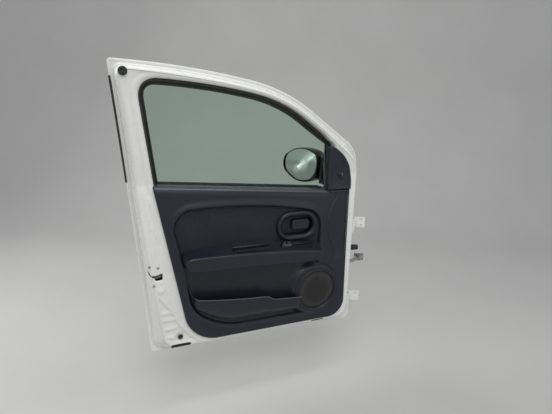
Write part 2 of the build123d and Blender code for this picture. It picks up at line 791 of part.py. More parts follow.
# Door check
CHECK_PLATE = (44, 32)
CHECK_LUG = 4.0
LUG_IN = 8.0
pivot = turn(*CHECK_PIVOT, OPEN_DEG)
with BuildPart() as check_bracket:
    with BuildSketch(level(CHECK[2] - CHECK_PLATE[1] / 2, angle=OPEN_DEG)):
        with Locations((PILLAR_REACH - LEAF / 2, CHECK_PIVOT[1])):
            Rectangle(LEAF, CHECK_PLATE[0])
    extrude(amount=CHECK_PLATE[1])
    for z in (CHECK[2] - LUG_IN - CHECK_LUG, CHECK[2] + LUG_IN):
        with BuildSketch(level(z, angle=OPEN_DEG)):
            with Locations(CHECK_PIVOT):
                Circle(8)
            with Locations(((CHECK_PIVOT[0] + PILLAR_REACH - LEAF) / 2, CHECK_PIVOT[1])):
                Rectangle(PILLAR_REACH - LEAF - CHECK_PIVOT[0], 16)
        extrude(amount=CHECK_LUG)
    extrude(disc(level(CHECK[2] - 20), pivot, PIN_R + PIN_GAP), amount=40, mode=Mode.SUBTRACT)
    for aside in (-16, 16):
        add(across_pillar(PILLAR_REACH, CHECK_PIVOT[1] + aside, CHECK[2], CHECK_BOLT_R),
            mode=Mode.SUBTRACT)
finish(check_bracket, "check_bracket")

with BuildPart() as check_pin:
    extrude(disc(level(CHECK[2] - LUG_IN - CHECK_LUG - 2), pivot, PIN_R), amount=2 * (LUG_IN + CHECK_LUG + 2))
finish(check_pin, "check_pin")

with BuildPart() as check_arm:
    toward = Vector(CHECK[0] - pivot[0], CHECK[1] - pivot[1]).normalized()
    end = Vector(*pivot) + toward * ARM_LONG
    with BuildSketch(level(CHECK[2] - ARM_TALL / 2)):
        with Locations(((pivot[0] + end.X) / 2, (pivot[1] + end.Y) / 2)):
            Rectangle(ARM_LONG, ARM_THICK, rotation=degrees(atan2(toward.Y, toward.X)))
        with Locations(pivot):
            Circle(7.5)
            Circle(PIN_R + PIN_GAP, mode=Mode.SUBTRACT)
    extrude(amount=ARM_TALL)
finish(check_arm, "check_arm")

BACK = -SHEET * (1 + WALL_FALL)
BOX_Y = (-37, -2)
with BuildPart() as check_box:
    with BuildSketch(level(CHECK[2] - 20)):
        with BuildLine():
            Polyline(
                (wall_x(BOX_Y[0], BACK), BOX_Y[0]), (wall_x(BOX_Y[1], BACK), BOX_Y[1]),
                (wall_x(BOX_Y[1], BACK - 4), BOX_Y[1]), (wall_x(BOX_Y[0], BACK - 4), BOX_Y[0]),
                close=True,
            )
        make_face()
    extrude(amount=40)
    add(block((-60, 10), (CHECK[1] - 12, CHECK[1] + 12), (CHECK[2] - 9, CHECK[2] + 9)), mode=Mode.SUBTRACT)
finish(check_box, "check_box")


# Mirror
def mirror_plane(ahead=0.0):
    """Plane of the mirror glass, facing forward: sketch X inboard, sketch Y down."""
    forward = Vector(cos(radians(AIM)), sin(radians(AIM)), 0)
    return Plane(
        origin=DATUM + Vector(*MIRROR) + forward * ahead,
        x_dir=Vector(sin(radians(AIM)), -cos(radians(AIM)), 0),
        z_dir=forward,
    )


def mirror_outline(ahead, size):
    """The rounded outline of the mirror, drawn larger or smaller."""
    corners = [Vector(x, z) * size for x, z in ((84, 46), (-52, 50), (-52, -50), (84, -46))]
    middles = [Vector(x, z) * size for x, z in ((10, 66), (-85, 2), (10, -66))]
    with BuildSketch(mirror_plane(ahead)) as shape:
        with BuildLine():
            for first, middle, last in zip(corners, middles, corners[1:]):
                ThreePointArc(first, middle, last)
            Line(corners[-1], corners[0])
        make_face()
        fillet(shape.vertices(), radius=20 * size)
    return shape.sketch


GLASS_SET = 8.0
MIRROR_GLASS = 4.0
RIM_AHEAD = -6.0
SHELL = [(RIM_AHEAD, 1.1), (40, 1.08), (72, 0.9), (88, 0.62)]
with BuildPart() as mirror_housing:
    loft([mirror_outline(ahead, size) for ahead, size in SHELL], ruled=True)
    extrude(disc(level(FOLD_Z + 0.3), FOLD, FOLD_R), amount=FOLD_TALL, taper=3)
    extrude(mirror_outline(RIM_AHEAD, 1.02), amount=GLASS_SET - RIM_AHEAD, mode=Mode.SUBTRACT)
finish(mirror_housing, "mirror_housing")

with BuildPart() as mirror_glass:
    extrude(mirror_outline(GLASS_SET - MIRROR_GLASS, 1), amount=MIRROR_GLASS)
finish(mirror_glass, "mirror_glass")

with BuildPart() as mirror_foot:
    with BuildSketch(level(FOLD_Z - 14)):
        with Locations(FOLD):
            Circle(20)
        with Locations((-100, 50)):
            Rectangle(60, 80)
    extrude(amount=14)
    add(skin_outer, mode=Mode.SUBTRACT)
finish(mirror_foot, "mirror_foot")

# Wiring
BOOT_RINGS = [(15, 4), (10, 6), (12.5, 4), (10, 6), (12.5, 4), (10, 6), (12, 8)]
with BuildPart() as wiring_boot:
    ahead = Vector(cos(atan(WALL_FALL)), -sin(atan(WALL_FALL)), 0)
    start = DATUM + Vector(wall_x(-18), -18, BOOT_Z)
    for radius, length in BOOT_RINGS:
        with BuildSketch(Plane(origin=start, z_dir=ahead)):
            Circle(radius)
        extrude(amount=length)
        start += ahead * length
finish(wiring_boot, "wiring_boot")
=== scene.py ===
"""Looks of the open front left door: surfaces, seals, trim, fittings, light and camera."""

import json
from math import cos, pi, radians, sin

import bmesh
import bpy
import numpy as np
from mathutils import Matrix, Vector
from mathutils.geometry import delaunay_2d_cdt


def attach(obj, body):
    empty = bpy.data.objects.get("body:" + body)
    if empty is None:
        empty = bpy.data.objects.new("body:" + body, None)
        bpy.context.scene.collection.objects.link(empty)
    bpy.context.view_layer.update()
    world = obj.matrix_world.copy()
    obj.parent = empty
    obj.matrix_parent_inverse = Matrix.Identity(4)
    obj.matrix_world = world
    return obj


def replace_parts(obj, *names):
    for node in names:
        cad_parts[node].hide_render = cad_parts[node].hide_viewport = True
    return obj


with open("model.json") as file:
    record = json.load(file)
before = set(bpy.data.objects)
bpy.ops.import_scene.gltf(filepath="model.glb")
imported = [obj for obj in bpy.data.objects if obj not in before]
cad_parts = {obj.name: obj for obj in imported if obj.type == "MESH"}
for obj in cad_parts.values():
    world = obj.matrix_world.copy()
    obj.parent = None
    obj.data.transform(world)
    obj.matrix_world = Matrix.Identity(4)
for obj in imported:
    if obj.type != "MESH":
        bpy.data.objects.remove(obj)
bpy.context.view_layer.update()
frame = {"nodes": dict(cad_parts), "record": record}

# The door's own directions, in millimetres: X forward, Y outboard, Z up, from the hinge axis
DATUM = np.array([-47.2171, -19.2496, -447.0])
BELT = 690.0
FACE = -45.0
FACE_LEAN = 0.18
TRIM = FACE - 12
FLOOR = FACE - 5
CUP = (-308, BELT - 201)
SPEAKER = (-210, 195)
POD_FOOT = (-226, 202)
# How far points may lie apart and still be welded, in metres
WELD = 2e-5


def metres(points):
    return (np.asarray(points, float).reshape(-1, 3) + DATUM) / 1000.0


def xyz(p, y):
    """Points of the side view at a depth, or each at its own."""
    p = np.asarray(p, float)
    return np.column_stack([p[:, 0], np.broadcast_to(y, len(p)), p[:, 1]])


def plan(p, z):
    """Points seen from above, at one height."""
    return np.column_stack([p, np.full(len(p), z)])


# Lines on the side view
def arc_through(a, b, c, n):
    """Points of the arc from a through b to c, without a."""
    a, b, c = (np.array(p, float) for p in (a, b, c))
    d = 2 * (a[0] * (b[1] - c[1]) + b[0] * (c[1] - a[1]) + c[0] * (a[1] - b[1]))
    mx = ((a @ a) * (b[1] - c[1]) + (b @ b) * (c[1] - a[1]) + (c @ c) * (a[1] - b[1])) / d
    mz = ((a @ a) * (c[0] - b[0]) + (b @ b) * (a[0] - c[0]) + (c @ c) * (b[0] - a[0])) / d
    m = np.array([mx, mz])
    t0, t1, t2 = (np.arctan2(*(p - m)[::-1]) for p in (a, b, c))
    way = 1 if ((t1 - t0) % (2 * pi)) < ((t2 - t0) % (2 * pi)) else -1
    t = t0 + ((t2 - t0) * way) % (2 * pi) * way * np.linspace(0, 1, n + 1)[1:]
    return m + np.linalg.norm(a - m) * np.column_stack([np.cos(t), np.sin(t)])


def arc_on(a, along, b, n):
    """An arc from a to b that leaves a in the given direction."""
    a, b = np.array(a, float), np.array(b, float)
    along = np.array(along, float) / np.linalg.norm(along)
    side = np.array([-along[1], along[0]])
    k = 2 * ((b - a) @ side) / ((b - a) @ (b - a))
    if abs(k) < 1e-7:
        return a + (b - a) * np.linspace(0, 1, n + 1)[1:, None]
    m = a + side / k
    bulge = (a + b) / 2 - m
    return arc_through(a, m + bulge / np.linalg.norm(bulge) / abs(k), b, n)


def outline(start, steps, rounds=(), step=5.0, counts=None, closed=True):
    """Points along steps: a line's end, an arc's middle and end, or "on" and an end."""
    pts = [np.array(start, float)]
    for i, s in enumerate(steps):
        here, arc = pts[-1], isinstance(s[0], (tuple, str))
        end = np.array(s[1] if arc else s, float)
        n = counts[i] if counts else max(1, int(np.linalg.norm(end - here) * 1.05 / step))
        if s[0] == "on":
            pts.extend(arc_on(here, here - pts[-2], end, n))
        elif arc:
            pts.extend(arc_through(here, s[0], end, n))
        else:
            pts.extend(here + (end - here) * np.linspace(0, 1, n + 1)[1:, None])
    if np.linalg.norm(pts[-1] - pts[0]) < 1e-6:
        pts.pop()
    elif closed:
        n = counts[-1] if counts else max(1, int(np.linalg.norm(pts[0] - pts[-1]) / step))
        pts.extend(pts[-1] + (pts[0] - pts[-1]) * np.linspace(0, 1, n + 1)[1:-1, None])
    pts = np.array(pts)
    for corner, reach in rounds:
        pts = softened(pts, corner, reach, closed)
    return pts


def lean_to(pts, spots, tip):
    """Draws the points at these spots as one curve that leans to a tip."""
    t, tip = np.linspace(0, 1, len(spots))[:, None], np.array(tip, float)
    pts[spots] = pts[spots[0]] * (1 - t) ** 2 + 2 * tip * t * (1 - t) + pts[spots[-1]] * t ** 2


def softened(pts, corner, reach, closed=True):
    """The same points with a corner drawn as a curve that starts a reach away from it."""
    nearest = int(np.linalg.norm(pts - corner, axis=1).argmin())
    if closed:
        pts = np.roll(pts, len(pts) // 2 - nearest, axis=0)
        nearest = len(pts) // 2
    pts = pts.copy()
    away = np.linalg.norm(pts - corner, axis=1)
    low = high = nearest
    while away[low] < reach and low > 0:
        low -= 1
    while away[high] < reach and high < len(pts) - 1:
        high += 1
    lean_to(pts, np.arange(low, high + 1), corner)
    return pts


def even(pts, count, closed=True):
    """The same line with evenly spaced points."""
    loop = np.vstack([pts, pts[:1]]) if closed else np.asarray(pts, float)
    run = np.r_[0, np.cumsum(np.linalg.norm(np.diff(loop, axis=0), axis=1))]
    at = np.linspace(0, run[-1], count, endpoint=not closed)
    return np.column_stack([np.interp(at, run, loop[:, k]) for k in range(loop.shape[1])])


def area(pts):
    x, z = pts[:, 0], pts[:, 1]
    return 0.5 * np.sum(x * np.roll(z, -1) - np.roll(x, -1) * z)


def outward(pts, closed=True):
    """Unit directions out of a closed outline, or to the right of an open one."""
    run = np.roll(pts, -1, axis=0) - np.roll(pts, 1, axis=0) if closed else np.gradient(pts, axis=0)
    run = run / np.linalg.norm(run, axis=1)[:, None]
    sign = -1.0 if closed and area(pts) < 0 else 1.0
    return sign * np.column_stack([run[:, 1], -run[:, 0]])


def grown(pts, amount, closed=True):
    return pts + outward(pts, closed) * amount


def signed(points, poly, closed=True):
    """Distance of points from a line, positive inside a closed one."""
    points, poly, out = np.asarray(points, float), np.asarray(poly, float), []
    a = poly if closed else poly[:-1]
    b = np.roll(poly, -1, axis=0) if closed else poly[1:]
    ab = b - a
    level = np.where(np.abs(ab[:, 1]) < 1e-12, 1e-12, ab[:, 1])
    for chunk in np.array_split(points, max(1, len(points) // 3000)):
        ap = chunk[:, None, :] - a[None]
        t = np.clip((ap * ab).sum(2) / np.maximum((ab * ab).sum(1), 1e-9), 0, 1)
        d = np.sqrt(((ap - ab * t[..., None]) ** 2).sum(2).min(1))
        if closed:
            spans = (a[None, :, 1] > chunk[:, None, 1]) != (b[None, :, 1] > chunk[:, None, 1])
            at = a[:, 0] + (chunk[:, None, 1] - a[:, 1]) / level * ab[:, 0]
            inside = ((chunk[:, None, 0] < at) & spans).sum(1) % 2 == 1
            d = np.where(inside, d, -d)
        out.append(d)
    return np.concatenate(out)


def ease(t):
    """A soft step from 0 to 1."""
    t = np.clip(t, 0, 1)
    return t * t * (3 - 2 * t)


def dome(t):
    """A quarter circle from 1 in the middle to 0 at the rim."""
    return np.sqrt(1 - np.clip(t, 0, 1) ** 2)


def ridge_along(points, path, height, width):
    """Height of a soft raised line along a path."""
    return height * np.exp(-(signed(points, path, closed=False) / width) ** 2)


def hump(points, centre, height, radius, power=2):
    """Height of a soft round rise."""
    away = np.linalg.norm(points - np.array(centre, float), axis=1)
    return height * np.exp(-(away / radius) ** (2 * power))


def circle(centre, radius, n=96):
    t = np.linspace(0, 2 * pi, n, endpoint=False)
    return np.array(centre, float) + radius * np.column_stack([np.cos(t), np.sin(t)])


def stadium(centre, long, tall, n=96):
    """An outline with two straight sides and round ends."""
    r, half = tall / 2, (long - tall) / 2
    t = np.linspace(-pi / 2, pi / 2, 40)
    right = np.column_stack([half + r * np.cos(t), r * np.sin(t)])
    return even(np.vstack([right, -right]), n) + np.array(centre, float)


def box_line(x, z, reach, step=2.5):
    """A rectangle with soft corners, counter-clockwise."""
    corners = [(x[0], z[0]), (x[1], z[0]), (x[1], z[1]), (x[0], z[1])]
    return outline(corners[0], corners[1:], [(c, reach) for c in corners], step)


def belt(x):
    """Height of the belt line."""
    return BELT - 8 - (x + 841) * 58 / 687


# Meshes
def placed(name, data):
    thing = bpy.data.objects.new(name, data)
    bpy.context.scene.collection.objects.link(thing)
    return thing


def laid(name, verts, faces, look, weld=0.0):
    """A smooth object from points in metres."""
    mesh = bpy.data.meshes.new(name)
    mesh.from_pydata([tuple(v) for v in verts], [], [tuple(int(i) for i in f) for f in faces])
    if weld:
        bm = bmesh.new()
        bm.from_mesh(mesh)
        bmesh.ops.remove_doubles(bm, verts=bm.verts, dist=weld)
        bm.to_mesh(mesh)
        bm.free()
    mesh.validate()
    mesh.polygons.foreach_set("use_smooth", [True] * len(mesh.polygons))
    mesh.update()
    mesh.materials.append(look)
    return placed(name, mesh)


def link(name, part, look, body="door", weld=0.0):
    """A piece of a body, from points in millimetres and faces."""
    piece = laid(name, metres(part[0]), part[1], look, weld)
    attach(piece, body)
    return piece


def field(outer, holes=(), step=6.0, extra=()):
    """Triangles over an outline with holes, facing inboard."""
    low, high = outer.min(0), outer.max(0)
    rows = np.arange(low[1], high[1], step * 0.866)
    grid = np.array([(x, z) for k, z in enumerate(rows)
                     for x in np.arange(low[0] + (step / 2 if k % 2 else 0), high[0], step)])
    sets = [(grid, step * 0.55), *[(np.asarray(more, float), 0.8) for more in extra]]
    free = []
    for pts, gap in sets:
        keep = signed(pts, outer) > gap
        for hole in holes:
            keep &= signed(pts, hole) < -gap
        free.append(pts[keep])
    points, edges = [], []
    for loop in (outer, *holes):
        first = len(points)
        points.extend(map(tuple, loop))
        edges.extend((first + i, first + (i + 1) % len(loop)) for i in range(len(loop)))
    points.extend(map(tuple, np.vstack(free)))
    found = delaunay_2d_cdt([Vector(p) for p in points], edges, [], 0, 1e-6)
    v = np.array([tuple(p) for p in found[0]])
    f = np.array(found[2])
    middle = v[f].mean(1)
    good = signed(middle, outer) > 0
    for hole in holes:
        good &= signed(middle, hole) < 0
    f = f[good]
    a, b, c = v[f[:, 0]], v[f[:, 1]], v[f[:, 2]]
    way = (b[:, 0] - a[:, 0]) * (c[:, 1] - a[:, 1]) - (b[:, 1] - a[:, 1]) * (c[:, 0] - a[:, 0])
    f[way < 0] = f[way < 0][:, ::-1]
    return v, f[np.abs(way) > 1e-6]


def strip(rings, closed=True, flip=False):
    """Quads between rings of equal count."""
    n = len(rings[0])
    faces = []
    for k in range(len(rings) - 1):
        for i in range(n if closed else n - 1):
            j = (i + 1) % n
            quad = (k * n + i, k * n + j, (k + 1) * n + j, (k + 1) * n + i)
            faces.append(quad[::-1] if flip else quad)
    return np.vstack(rings), faces


def joined(*parts):
    verts, faces, n = [], [], 0
    for v, f in parts:
        verts.append(np.asarray(v, float))
        faces.extend(tuple(int(i) + n for i in face) for face in f)
        n += len(v)
    return np.vstack(verts), faces


def band(line, surface, steps, closed=True, flip=False):
    """A skin along a line; each ring has grown by an amount and lies at a depth past a surface."""
    rings = []
    for amount, past in steps:
        p = grown(line, amount, closed)
        rings.append(xyz(p, surface(p[:, 1]) + past))
    return strip(rings, closed, (closed and area(line) < 0) != flip)


def face_over(outer, surface, past=0.0, holes=(), step=6.0, back=False):
    """A face over an outline at a depth past a surface, seen from inboard or from behind."""
    v, f = field(outer, holes, step)
    return xyz(v, surface(v[:, 1]) + past), f[:, ::-1] if back else f


def skin_over(levels, step):
    """A skin over outlines from the seat inboard, each with its depth, and a cap on the last."""
    last, depth = levels[-1]
    v, f = field(last, step=step)
    return joined(strip([xyz(p, y) for p, y in levels], flip=area(last) < 0), (xyz(v, depth), f))


def block(pts, base, steps, step):
    """A small block on the side view, from how far it has come in at each height off its base."""
    return skin_over([(grown(pts, -amount), base - high) for amount, high in steps], step)


def upright(pts, base, steps):
    """A small block that stands up, from how far it has come in at each height."""
    rings = [plan(grown(pts, -amount), base + high) for amount, high in steps]
    v, f = field(grown(pts, -steps[-1][0]), step=3)
    return joined(strip(rings), (plan(v, base + steps[-1][1]), f))


def turned(centre, base, profile, n=96):
    """A skin turned about an axis across the door, from radius and height off its base."""
    return strip([xyz(circle(centre, r, n), base - high) for r, high in profile])


def bead(line, corners):
    """A profile carried along a line in space; its corners are offsets in x, y and z."""
    return strip([line + corner for corner in corners], closed=False)


def rod(start, along, steps, n):
    """A skin round a straight line: how far along, how wide, and how much of a hexagon."""
    side = np.cross(along, (0, 0, 1.0))
    side = side / np.linalg.norm(side)
    t = np.linspace(0, 2 * pi, n, endpoint=False)[:, None]
    spoke = side * np.cos(t) + np.cross(along, side) * np.sin(t)
    six = cos(pi / 6) / np.cos((t % (pi / 3)) - pi / 6)
    return strip([start + along * far + spoke * wide * (1 - share + share * six)
                  for far, wide, share in steps])


def bar(start, end, radius):
    """A round bar with softened ends between two points."""
    start, end = np.array(start, float), np.array(end, float)
    long, r = np.linalg.norm(end - start), 0.25 * radius
    spots = [(0, 0.01), (0, radius - r), (0.3 * r, radius - 0.3 * r), (r, radius)]
    spots += [(long - far, wide) for far, wide in spots[::-1]]
    return rod(start, (end - start) / long, [(far, wide, 0) for far, wide in spots], 14)


def carve(piece, cutter):
    """Cuts one mesh out of another, for good."""
    mod = piece.modifiers.new("cut", "BOOLEAN")
    mod.operation, mod.object, mod.solver = "DIFFERENCE", cutter, "EXACT"
    cut = bpy.data.meshes.new_from_object(piece.evaluated_get(bpy.context.evaluated_depsgraph_get()))
    piece.modifiers.remove(mod)
    piece.data = cut
    bpy.data.objects.remove(cutter)


def round_edges(piece, width):
    """Rounded edges with clean shading on a carried-over solid."""
    mod = piece.modifiers.new("edges", "BEVEL")
    mod.width, mod.segments, mod.limit_method = width, 2, "ANGLE"
    mod.angle_limit = radians(32)
    mod.harden_normals = True


# Materials
class Look:
    """A principled material with noise in its colour, roughness and surface."""

    def __init__(self, name, color, rough, **sockets):
        self.mat = bpy.data.materials.new(name)
        self.mat.use_nodes = True
        self.nodes, self.links = self.mat.node_tree.nodes, self.mat.node_tree.links
        self.bsdf = self.nodes["Principled BSDF"]
        self.bsdf.inputs["Base Color"].default_value = (*color, 1)
        self.bsdf.inputs["Roughness"].default_value = rough
        for key, value in sockets.items():
            self.bsdf.inputs[key.replace("_", " ")].default_value = value
        self.place = self.nodes.new("ShaderNodeTexCoord").outputs["Object"]
        self.normal = None

    def node(self, kind, result, **inputs):
        """A node's output, with its inputs set to values or joined to other outputs."""
        made = self.nodes.new("ShaderNode" + kind)
        for key, value in inputs.items():
            socket = made.inputs[key.replace("_", " ")]
            if isinstance(value, bpy.types.NodeSocket):
                self.links.new(value, socket)
            else:
                socket.default_value = value
        return made.outputs[result]

    def scaled(self, stretch=(1, 1, 1)):
        return self.node("Mapping", "Vector", Vector=self.place, Scale=stretch)

    def noise(self, scale, detail, stretch=(1, 1, 1)):
        return self.node("TexNoise", "Fac", Vector=self.scaled(stretch), Scale=scale, Detail=detail)

    def cells(self, scale, loose=1.0):
        return self.node("TexVoronoi", "Distance", Vector=self.scaled(), Scale=scale,
                         Randomness=loose)

    def ramp(self, fac, stops):
        node = self.nodes.new("ShaderNodeValToRGB")
        node.color_ramp.elements.remove(node.color_ramp.elements[0])
        for i, (at, color) in enumerate(stops):
            mark = node.color_ramp.elements[0] if i == 0 else node.color_ramp.elements.new(at)
            mark.position, mark.color = at, (*color, 1)
        self.links.new(fac, node.inputs["Fac"])
        self.links.new(node.outputs["Color"], self.bsdf.inputs["Base Color"])

    def rough(self, fac, low, high):
        result = self.node("MapRange", "Result", Value=fac, From_Min=0.3, From_Max=0.7, To_Min=low,
                           To_Max=high)
        self.links.new(result, self.bsdf.inputs["Roughness"])

    def bump(self, height, strength, distance):
        """Adds relief to what the surface has so far."""
        below = {} if self.normal is None else {"Normal": self.normal}
        self.normal = self.node("Bump", "Normal", Height=height, Strength=strength,
                                Distance=distance, **below)
        self.links.new(self.normal, self.bsdf.inputs["Normal"])


def shade(color, amount):
    return tuple(c * amount for c in color)


def made_look(name, color, rough, tones, wide, fine, grain, **sockets):
    """Tones are the darkest and lightest share of the colour; grain is scale, strength, depth."""
    look = Look(name, color, rough, **sockets)
    look.ramp(look.noise(wide, 6), [(0.28, shade(color, tones[0])), (0.72, shade(color, tones[1]))])
    look.rough(look.noise(fine, 5), max(rough - 0.08, 0.02), rough + 0.10)
    look.bump(look.noise(grain[0], 3), grain[1], grain[2])
    return look


def grained(name, color, rough):
    """Hard plastic with a leather grain."""
    look = made_look(name, color, rough, (0.82, 1.2), 7, 60, (2200, 0.10, 0.0002),
                     Specular_IOR_Level=0.45)
    look.bump(look.cells(850), 0.20, 0.0003)
    return look.mat


def meshed():
    """Fine perforated speaker cloth."""
    look = Look("speaker_mesh", (0.045, 0.042, 0.040), 0.6, Specular_IOR_Level=0.3)
    holes = look.cells(240, loose=0.0)
    look.ramp(holes, [(0.32, (0.004, 0.004, 0.006)), (0.50, (0.036, 0.033, 0.032))])
    look.rough(look.noise(90, 4), 0.5, 0.7)
    look.bump(holes, 0.5, 0.0006)
    return look.mat


def ribbed():
    """Fabric with an upright weave."""
    look = made_look("insert_cloth", (0.0125, 0.0150, 0.0240), 0.72, (0.8, 1.25), 9, 80,
                     (1500, 0.2, 0.0003), Sheen_Weight=0.12, Specular_IOR_Level=0.3)
    look.bump(look.noise(700, 2, (1, 1, 0.06)), 0.35, 0.0004)
    return look.mat


NAVY = (0.0095, 0.0120, 0.0215)
PAINT = made_look("white_paint", (0.79, 0.79, 0.77), 0.30, (0.97, 1.01), 9, 30, (420, 0.03, 0.0002),
                  Coat_Weight=0.15, Coat_Roughness=0.12).mat
GRAIN = grained("black_trim", NAVY, 0.42)
# Smooth trim in a lighter tone than the card: painted highlight on the belt sill, the front crease,
# the pocket lip and the switch edges
HIGHLIGHT_TRIM = made_look("trim_painted_highlight", (0.062, 0.070, 0.078), 0.32, (0.9, 1.1), 9, 60,
                  (1600, 0.10, 0.0002)).mat
# Darker than the card: the mirror's real dark frame, and painted shade in the latch mouth, hook slot,
# drain slots, slit, stop notch, pull cup, blank recess and handle well
DARK_TRIM_AND_SHADE = grained("dark_trim_and_painted_shade", shade(NAVY, 0.55), 0.55)
RUBBER = made_look("black_rubber", (0.014, 0.015, 0.015), 0.55, (0.6, 1.6), 25, 120,
                   (700, 0.15, 0.0003)).mat
# Rubber in a lighter grey than the glass channel, as painted sheen on the finisher
SEAL_SHEEN = made_look("seal_rubber_painted_sheen", (0.060, 0.061, 0.060), 0.42, (0.8, 1.2), 25, 90,
                 (700, 0.12, 0.0002)).mat
CLOTH = ribbed()
MESH = meshed()
STEEL = made_look("steel", (0.46, 0.46, 0.47), 0.34, (0.7, 1.0), 18, 90, (260, 0.12, 0.0003),
                  Metallic=1.0).mat
GLOSS = made_look("gloss_black", (0.008, 0.008, 0.009), 0.16, (0.7, 1.4), 12, 40,
                  (900, 0.04, 0.0002), Coat_Weight=0.3, Coat_Roughness=0.06).mat
TINT = made_look("tinted_glass", (0.60, 0.72, 0.66), 0.02, (0.97, 1.03), 5, 6, (3, 0.02, 0.0002),
                 Transmission_Weight=1.0, IOR=1.04).mat
SILVER = made_look("mirror_silver", (0.78, 0.82, 0.80), 0.03, (0.95, 1.02), 5, 30,
                   (3, 0.01, 0.0001), Metallic=1.0).mat
LOOKS = {
    "white_paint": [PAINT], "black_trim": [GRAIN, DARK_TRIM_AND_SHADE, HIGHLIGHT_TRIM, MESH],
    "black_rubber": [RUBBER, SEAL_SHEEN], "insert_cloth": [CLOTH], "steel": [STEEL],
    "gloss_black": [GLOSS], "tinted_glass": [TINT], "mirror_silver": [SILVER],
}
for row in frame["record"]["subparts"]:
    solid = frame["nodes"][row["node"]]
    solid.data.materials.clear()
    solid.data.materials.append(LOOKS[row["material_slot"]][0])
for name in ("door_leaf_upper", "door_leaf_lower", "pillar_leaf_upper", "pillar_leaf_lower",
             "hinge_pin_upper", "hinge_pin_lower", "check_bracket", "check_pin", "check_arm",
             "check_box", "mirror_foot", "handle_cup", "lock_cylinder"):
    round_edges(frame["nodes"][name], 0.0006)


# Outlines of the sheet metal
HEM = outline(
    (-894, -6),
    [((-934, 540), (-990, BELT + 409)), ((-765, BELT + 395), (-517, BELT + 359)),
     ("on", (-247, BELT + 251)), ("on", (-55, BELT + 127)), ("on", (19, BELT + 10)),
     ("on", (34, BELT - 126)), (30, -34)],
    [((-894, -6), 10), ((-990, BELT + 409), 12), ((30, -34), 34)],
)
WINDOW_REAR, WINDOW_FRONT = (-889, BELT + 334), (-171, BELT + 118)
WINDOW_LINE = ((-841, BELT - 8),
               [WINDOW_REAR, ((-700, BELT + 321), (-518, BELT + 293)), ("on", (-305, BELT + 204)),
                ("on", WINDOW_FRONT), (-138, BELT - 66)],
               [(WINDOW_REAR, 44), (WINDOW_FRONT, 8)])
WINDOW = outline(*WINDOW_LINE)
GLASS_EDGE = outline(*WINDOW_LINE, step=2.5, closed=False)
SEAL_WIDE, SEAL_SLIMMER = 21.0, 9


def seal_width(p):
    """How far the seal reaches out from the glass edge; it narrows at the front corner."""
    away = np.linalg.norm(p - WINDOW_FRONT, axis=1)
    return (SEAL_WIDE - SEAL_SLIMMER * ease(1 - away / 80))[:, None]


def pressed_box(rear, rear_up, peak, roof, brow, front, nose, hinge, toe, heel, low, reach):
    """The box of the inner panel, with the same number of points at its face and its foot."""
    counts = [60, 80, 50, 40, 20, 22, 85, 136, 110]
    steps = [(rear_up, peak), roof, ("on", brow), ("on", front), nose, hinge, toe, heel, low]
    pts = outline(rear, steps, counts=counts)
    for corner, span in zip((peak, toe, heel), reach):
        at = int(np.linalg.norm(pts - corner, axis=1).argmin())
        lean_to(pts, (at + np.arange(-span, span + 1)) % len(pts), corner)
    return pts


BOX_FACE = pressed_box(
    rear=(-926, BELT), rear_up=(-946, BELT + 190), peak=(-972, BELT + 392),
    roof=((-767, BELT + 376), (-523, BELT + 336)), brow=(-262, BELT + 223),
    front=(-86, BELT + 98), nose=((-46, BELT + 50), (-29, BELT)), hinge=(-28, BELT - 130),
    toe=(-28, 22), heel=(-847, 34), low=((-890, 350), (-926, BELT)), reach=(7, 10, 9))
BOX_FOOT = pressed_box(
    rear=(-932, BELT), rear_up=(-951, BELT + 190), peak=(-975, BELT + 394),
    roof=((-765, BELT + 381), (-520, BELT + 345)), brow=(-254, BELT + 237),
    front=(-66, BELT + 112), nose=((-25, BELT + 62), (-13, BELT)), hinge=(-4, BELT - 130),
    toe=(-4, -19), heel=(-882, 4), low=((-903, 350), (-932, BELT)), reach=(5, 8, 7))
SKIN = np.vstack([
    [(14, -80)], arc_through((14, -80), (62, 330), (44, BELT), 40),
    arc_through((44, BELT), (-8.5, BELT + 211), (-71, BELT + 430), 30)])


# Depths of the door's main surfaces at a height
def face_y(z):
    """The inner panel's face, upright below the belt and leaning above it."""
    return FACE - FACE_LEAN * np.maximum(0, np.asarray(z, float) - BELT)


def skin_y(z):
    return np.interp(z, SKIN[:, 1], SKIN[:, 0])


def flange_y(z):
    """The flange, which lies on the skin inside its fold."""
    return skin_y(z) - 3.2


def glass_y(z):
    z = np.asarray(z, float)
    return 20 - (z - BELT + 50) * 0.2076 + 4 - 7 * ((z - BELT - 130) / 260) ** 2


# Pressed detail at the rear of the panel
S_CREASE = [(-868, 292), (-864, 262), (-842, 226), (-815, 193), (-806, 160), (-785, 122),
            (-748, 80), (-718, 52)]
SUNK = np.array(S_CREASE + [(-742, 50), (-822, 56), (-856, 84), (-872, 160), (-876, 240)])
CHANNEL = np.array([(-890, 622), (-880, 616), (-862, 560), (-848, 500), (-846, 462), (-858, 452),
                    (-866, 486), (-874, 540)])
SHOULDER = [(-900, 668), (-893, 612), (-884, 560), (-872, 510), (-872, 455), (-886, 412),
            (-896, 380)]
BORDER = [(-877, 640), (-863, 540), (-842, 430), (-818, 300), (-806, 245), (-794, 175),
          (-774, 114), (-738, 66), (-700, 40)]
BEADS = [((-850, 189), (-818, 186)), ((-852, 158), (-812, 158)), ((-846, 119), (-808, 121)),
         ((-840, 84), (-814, 80))]
MOUTH = outline((-847, 355), [(-879, 346), (-873, 328), (-848, 329)],
                [((-847, 355), 3), ((-848, 329), 3), ((-873, 328), 4)], step=2)
PLUG = (-790, 80)
FOOT_CURL, WELL_SINK = 5.0, 10.0


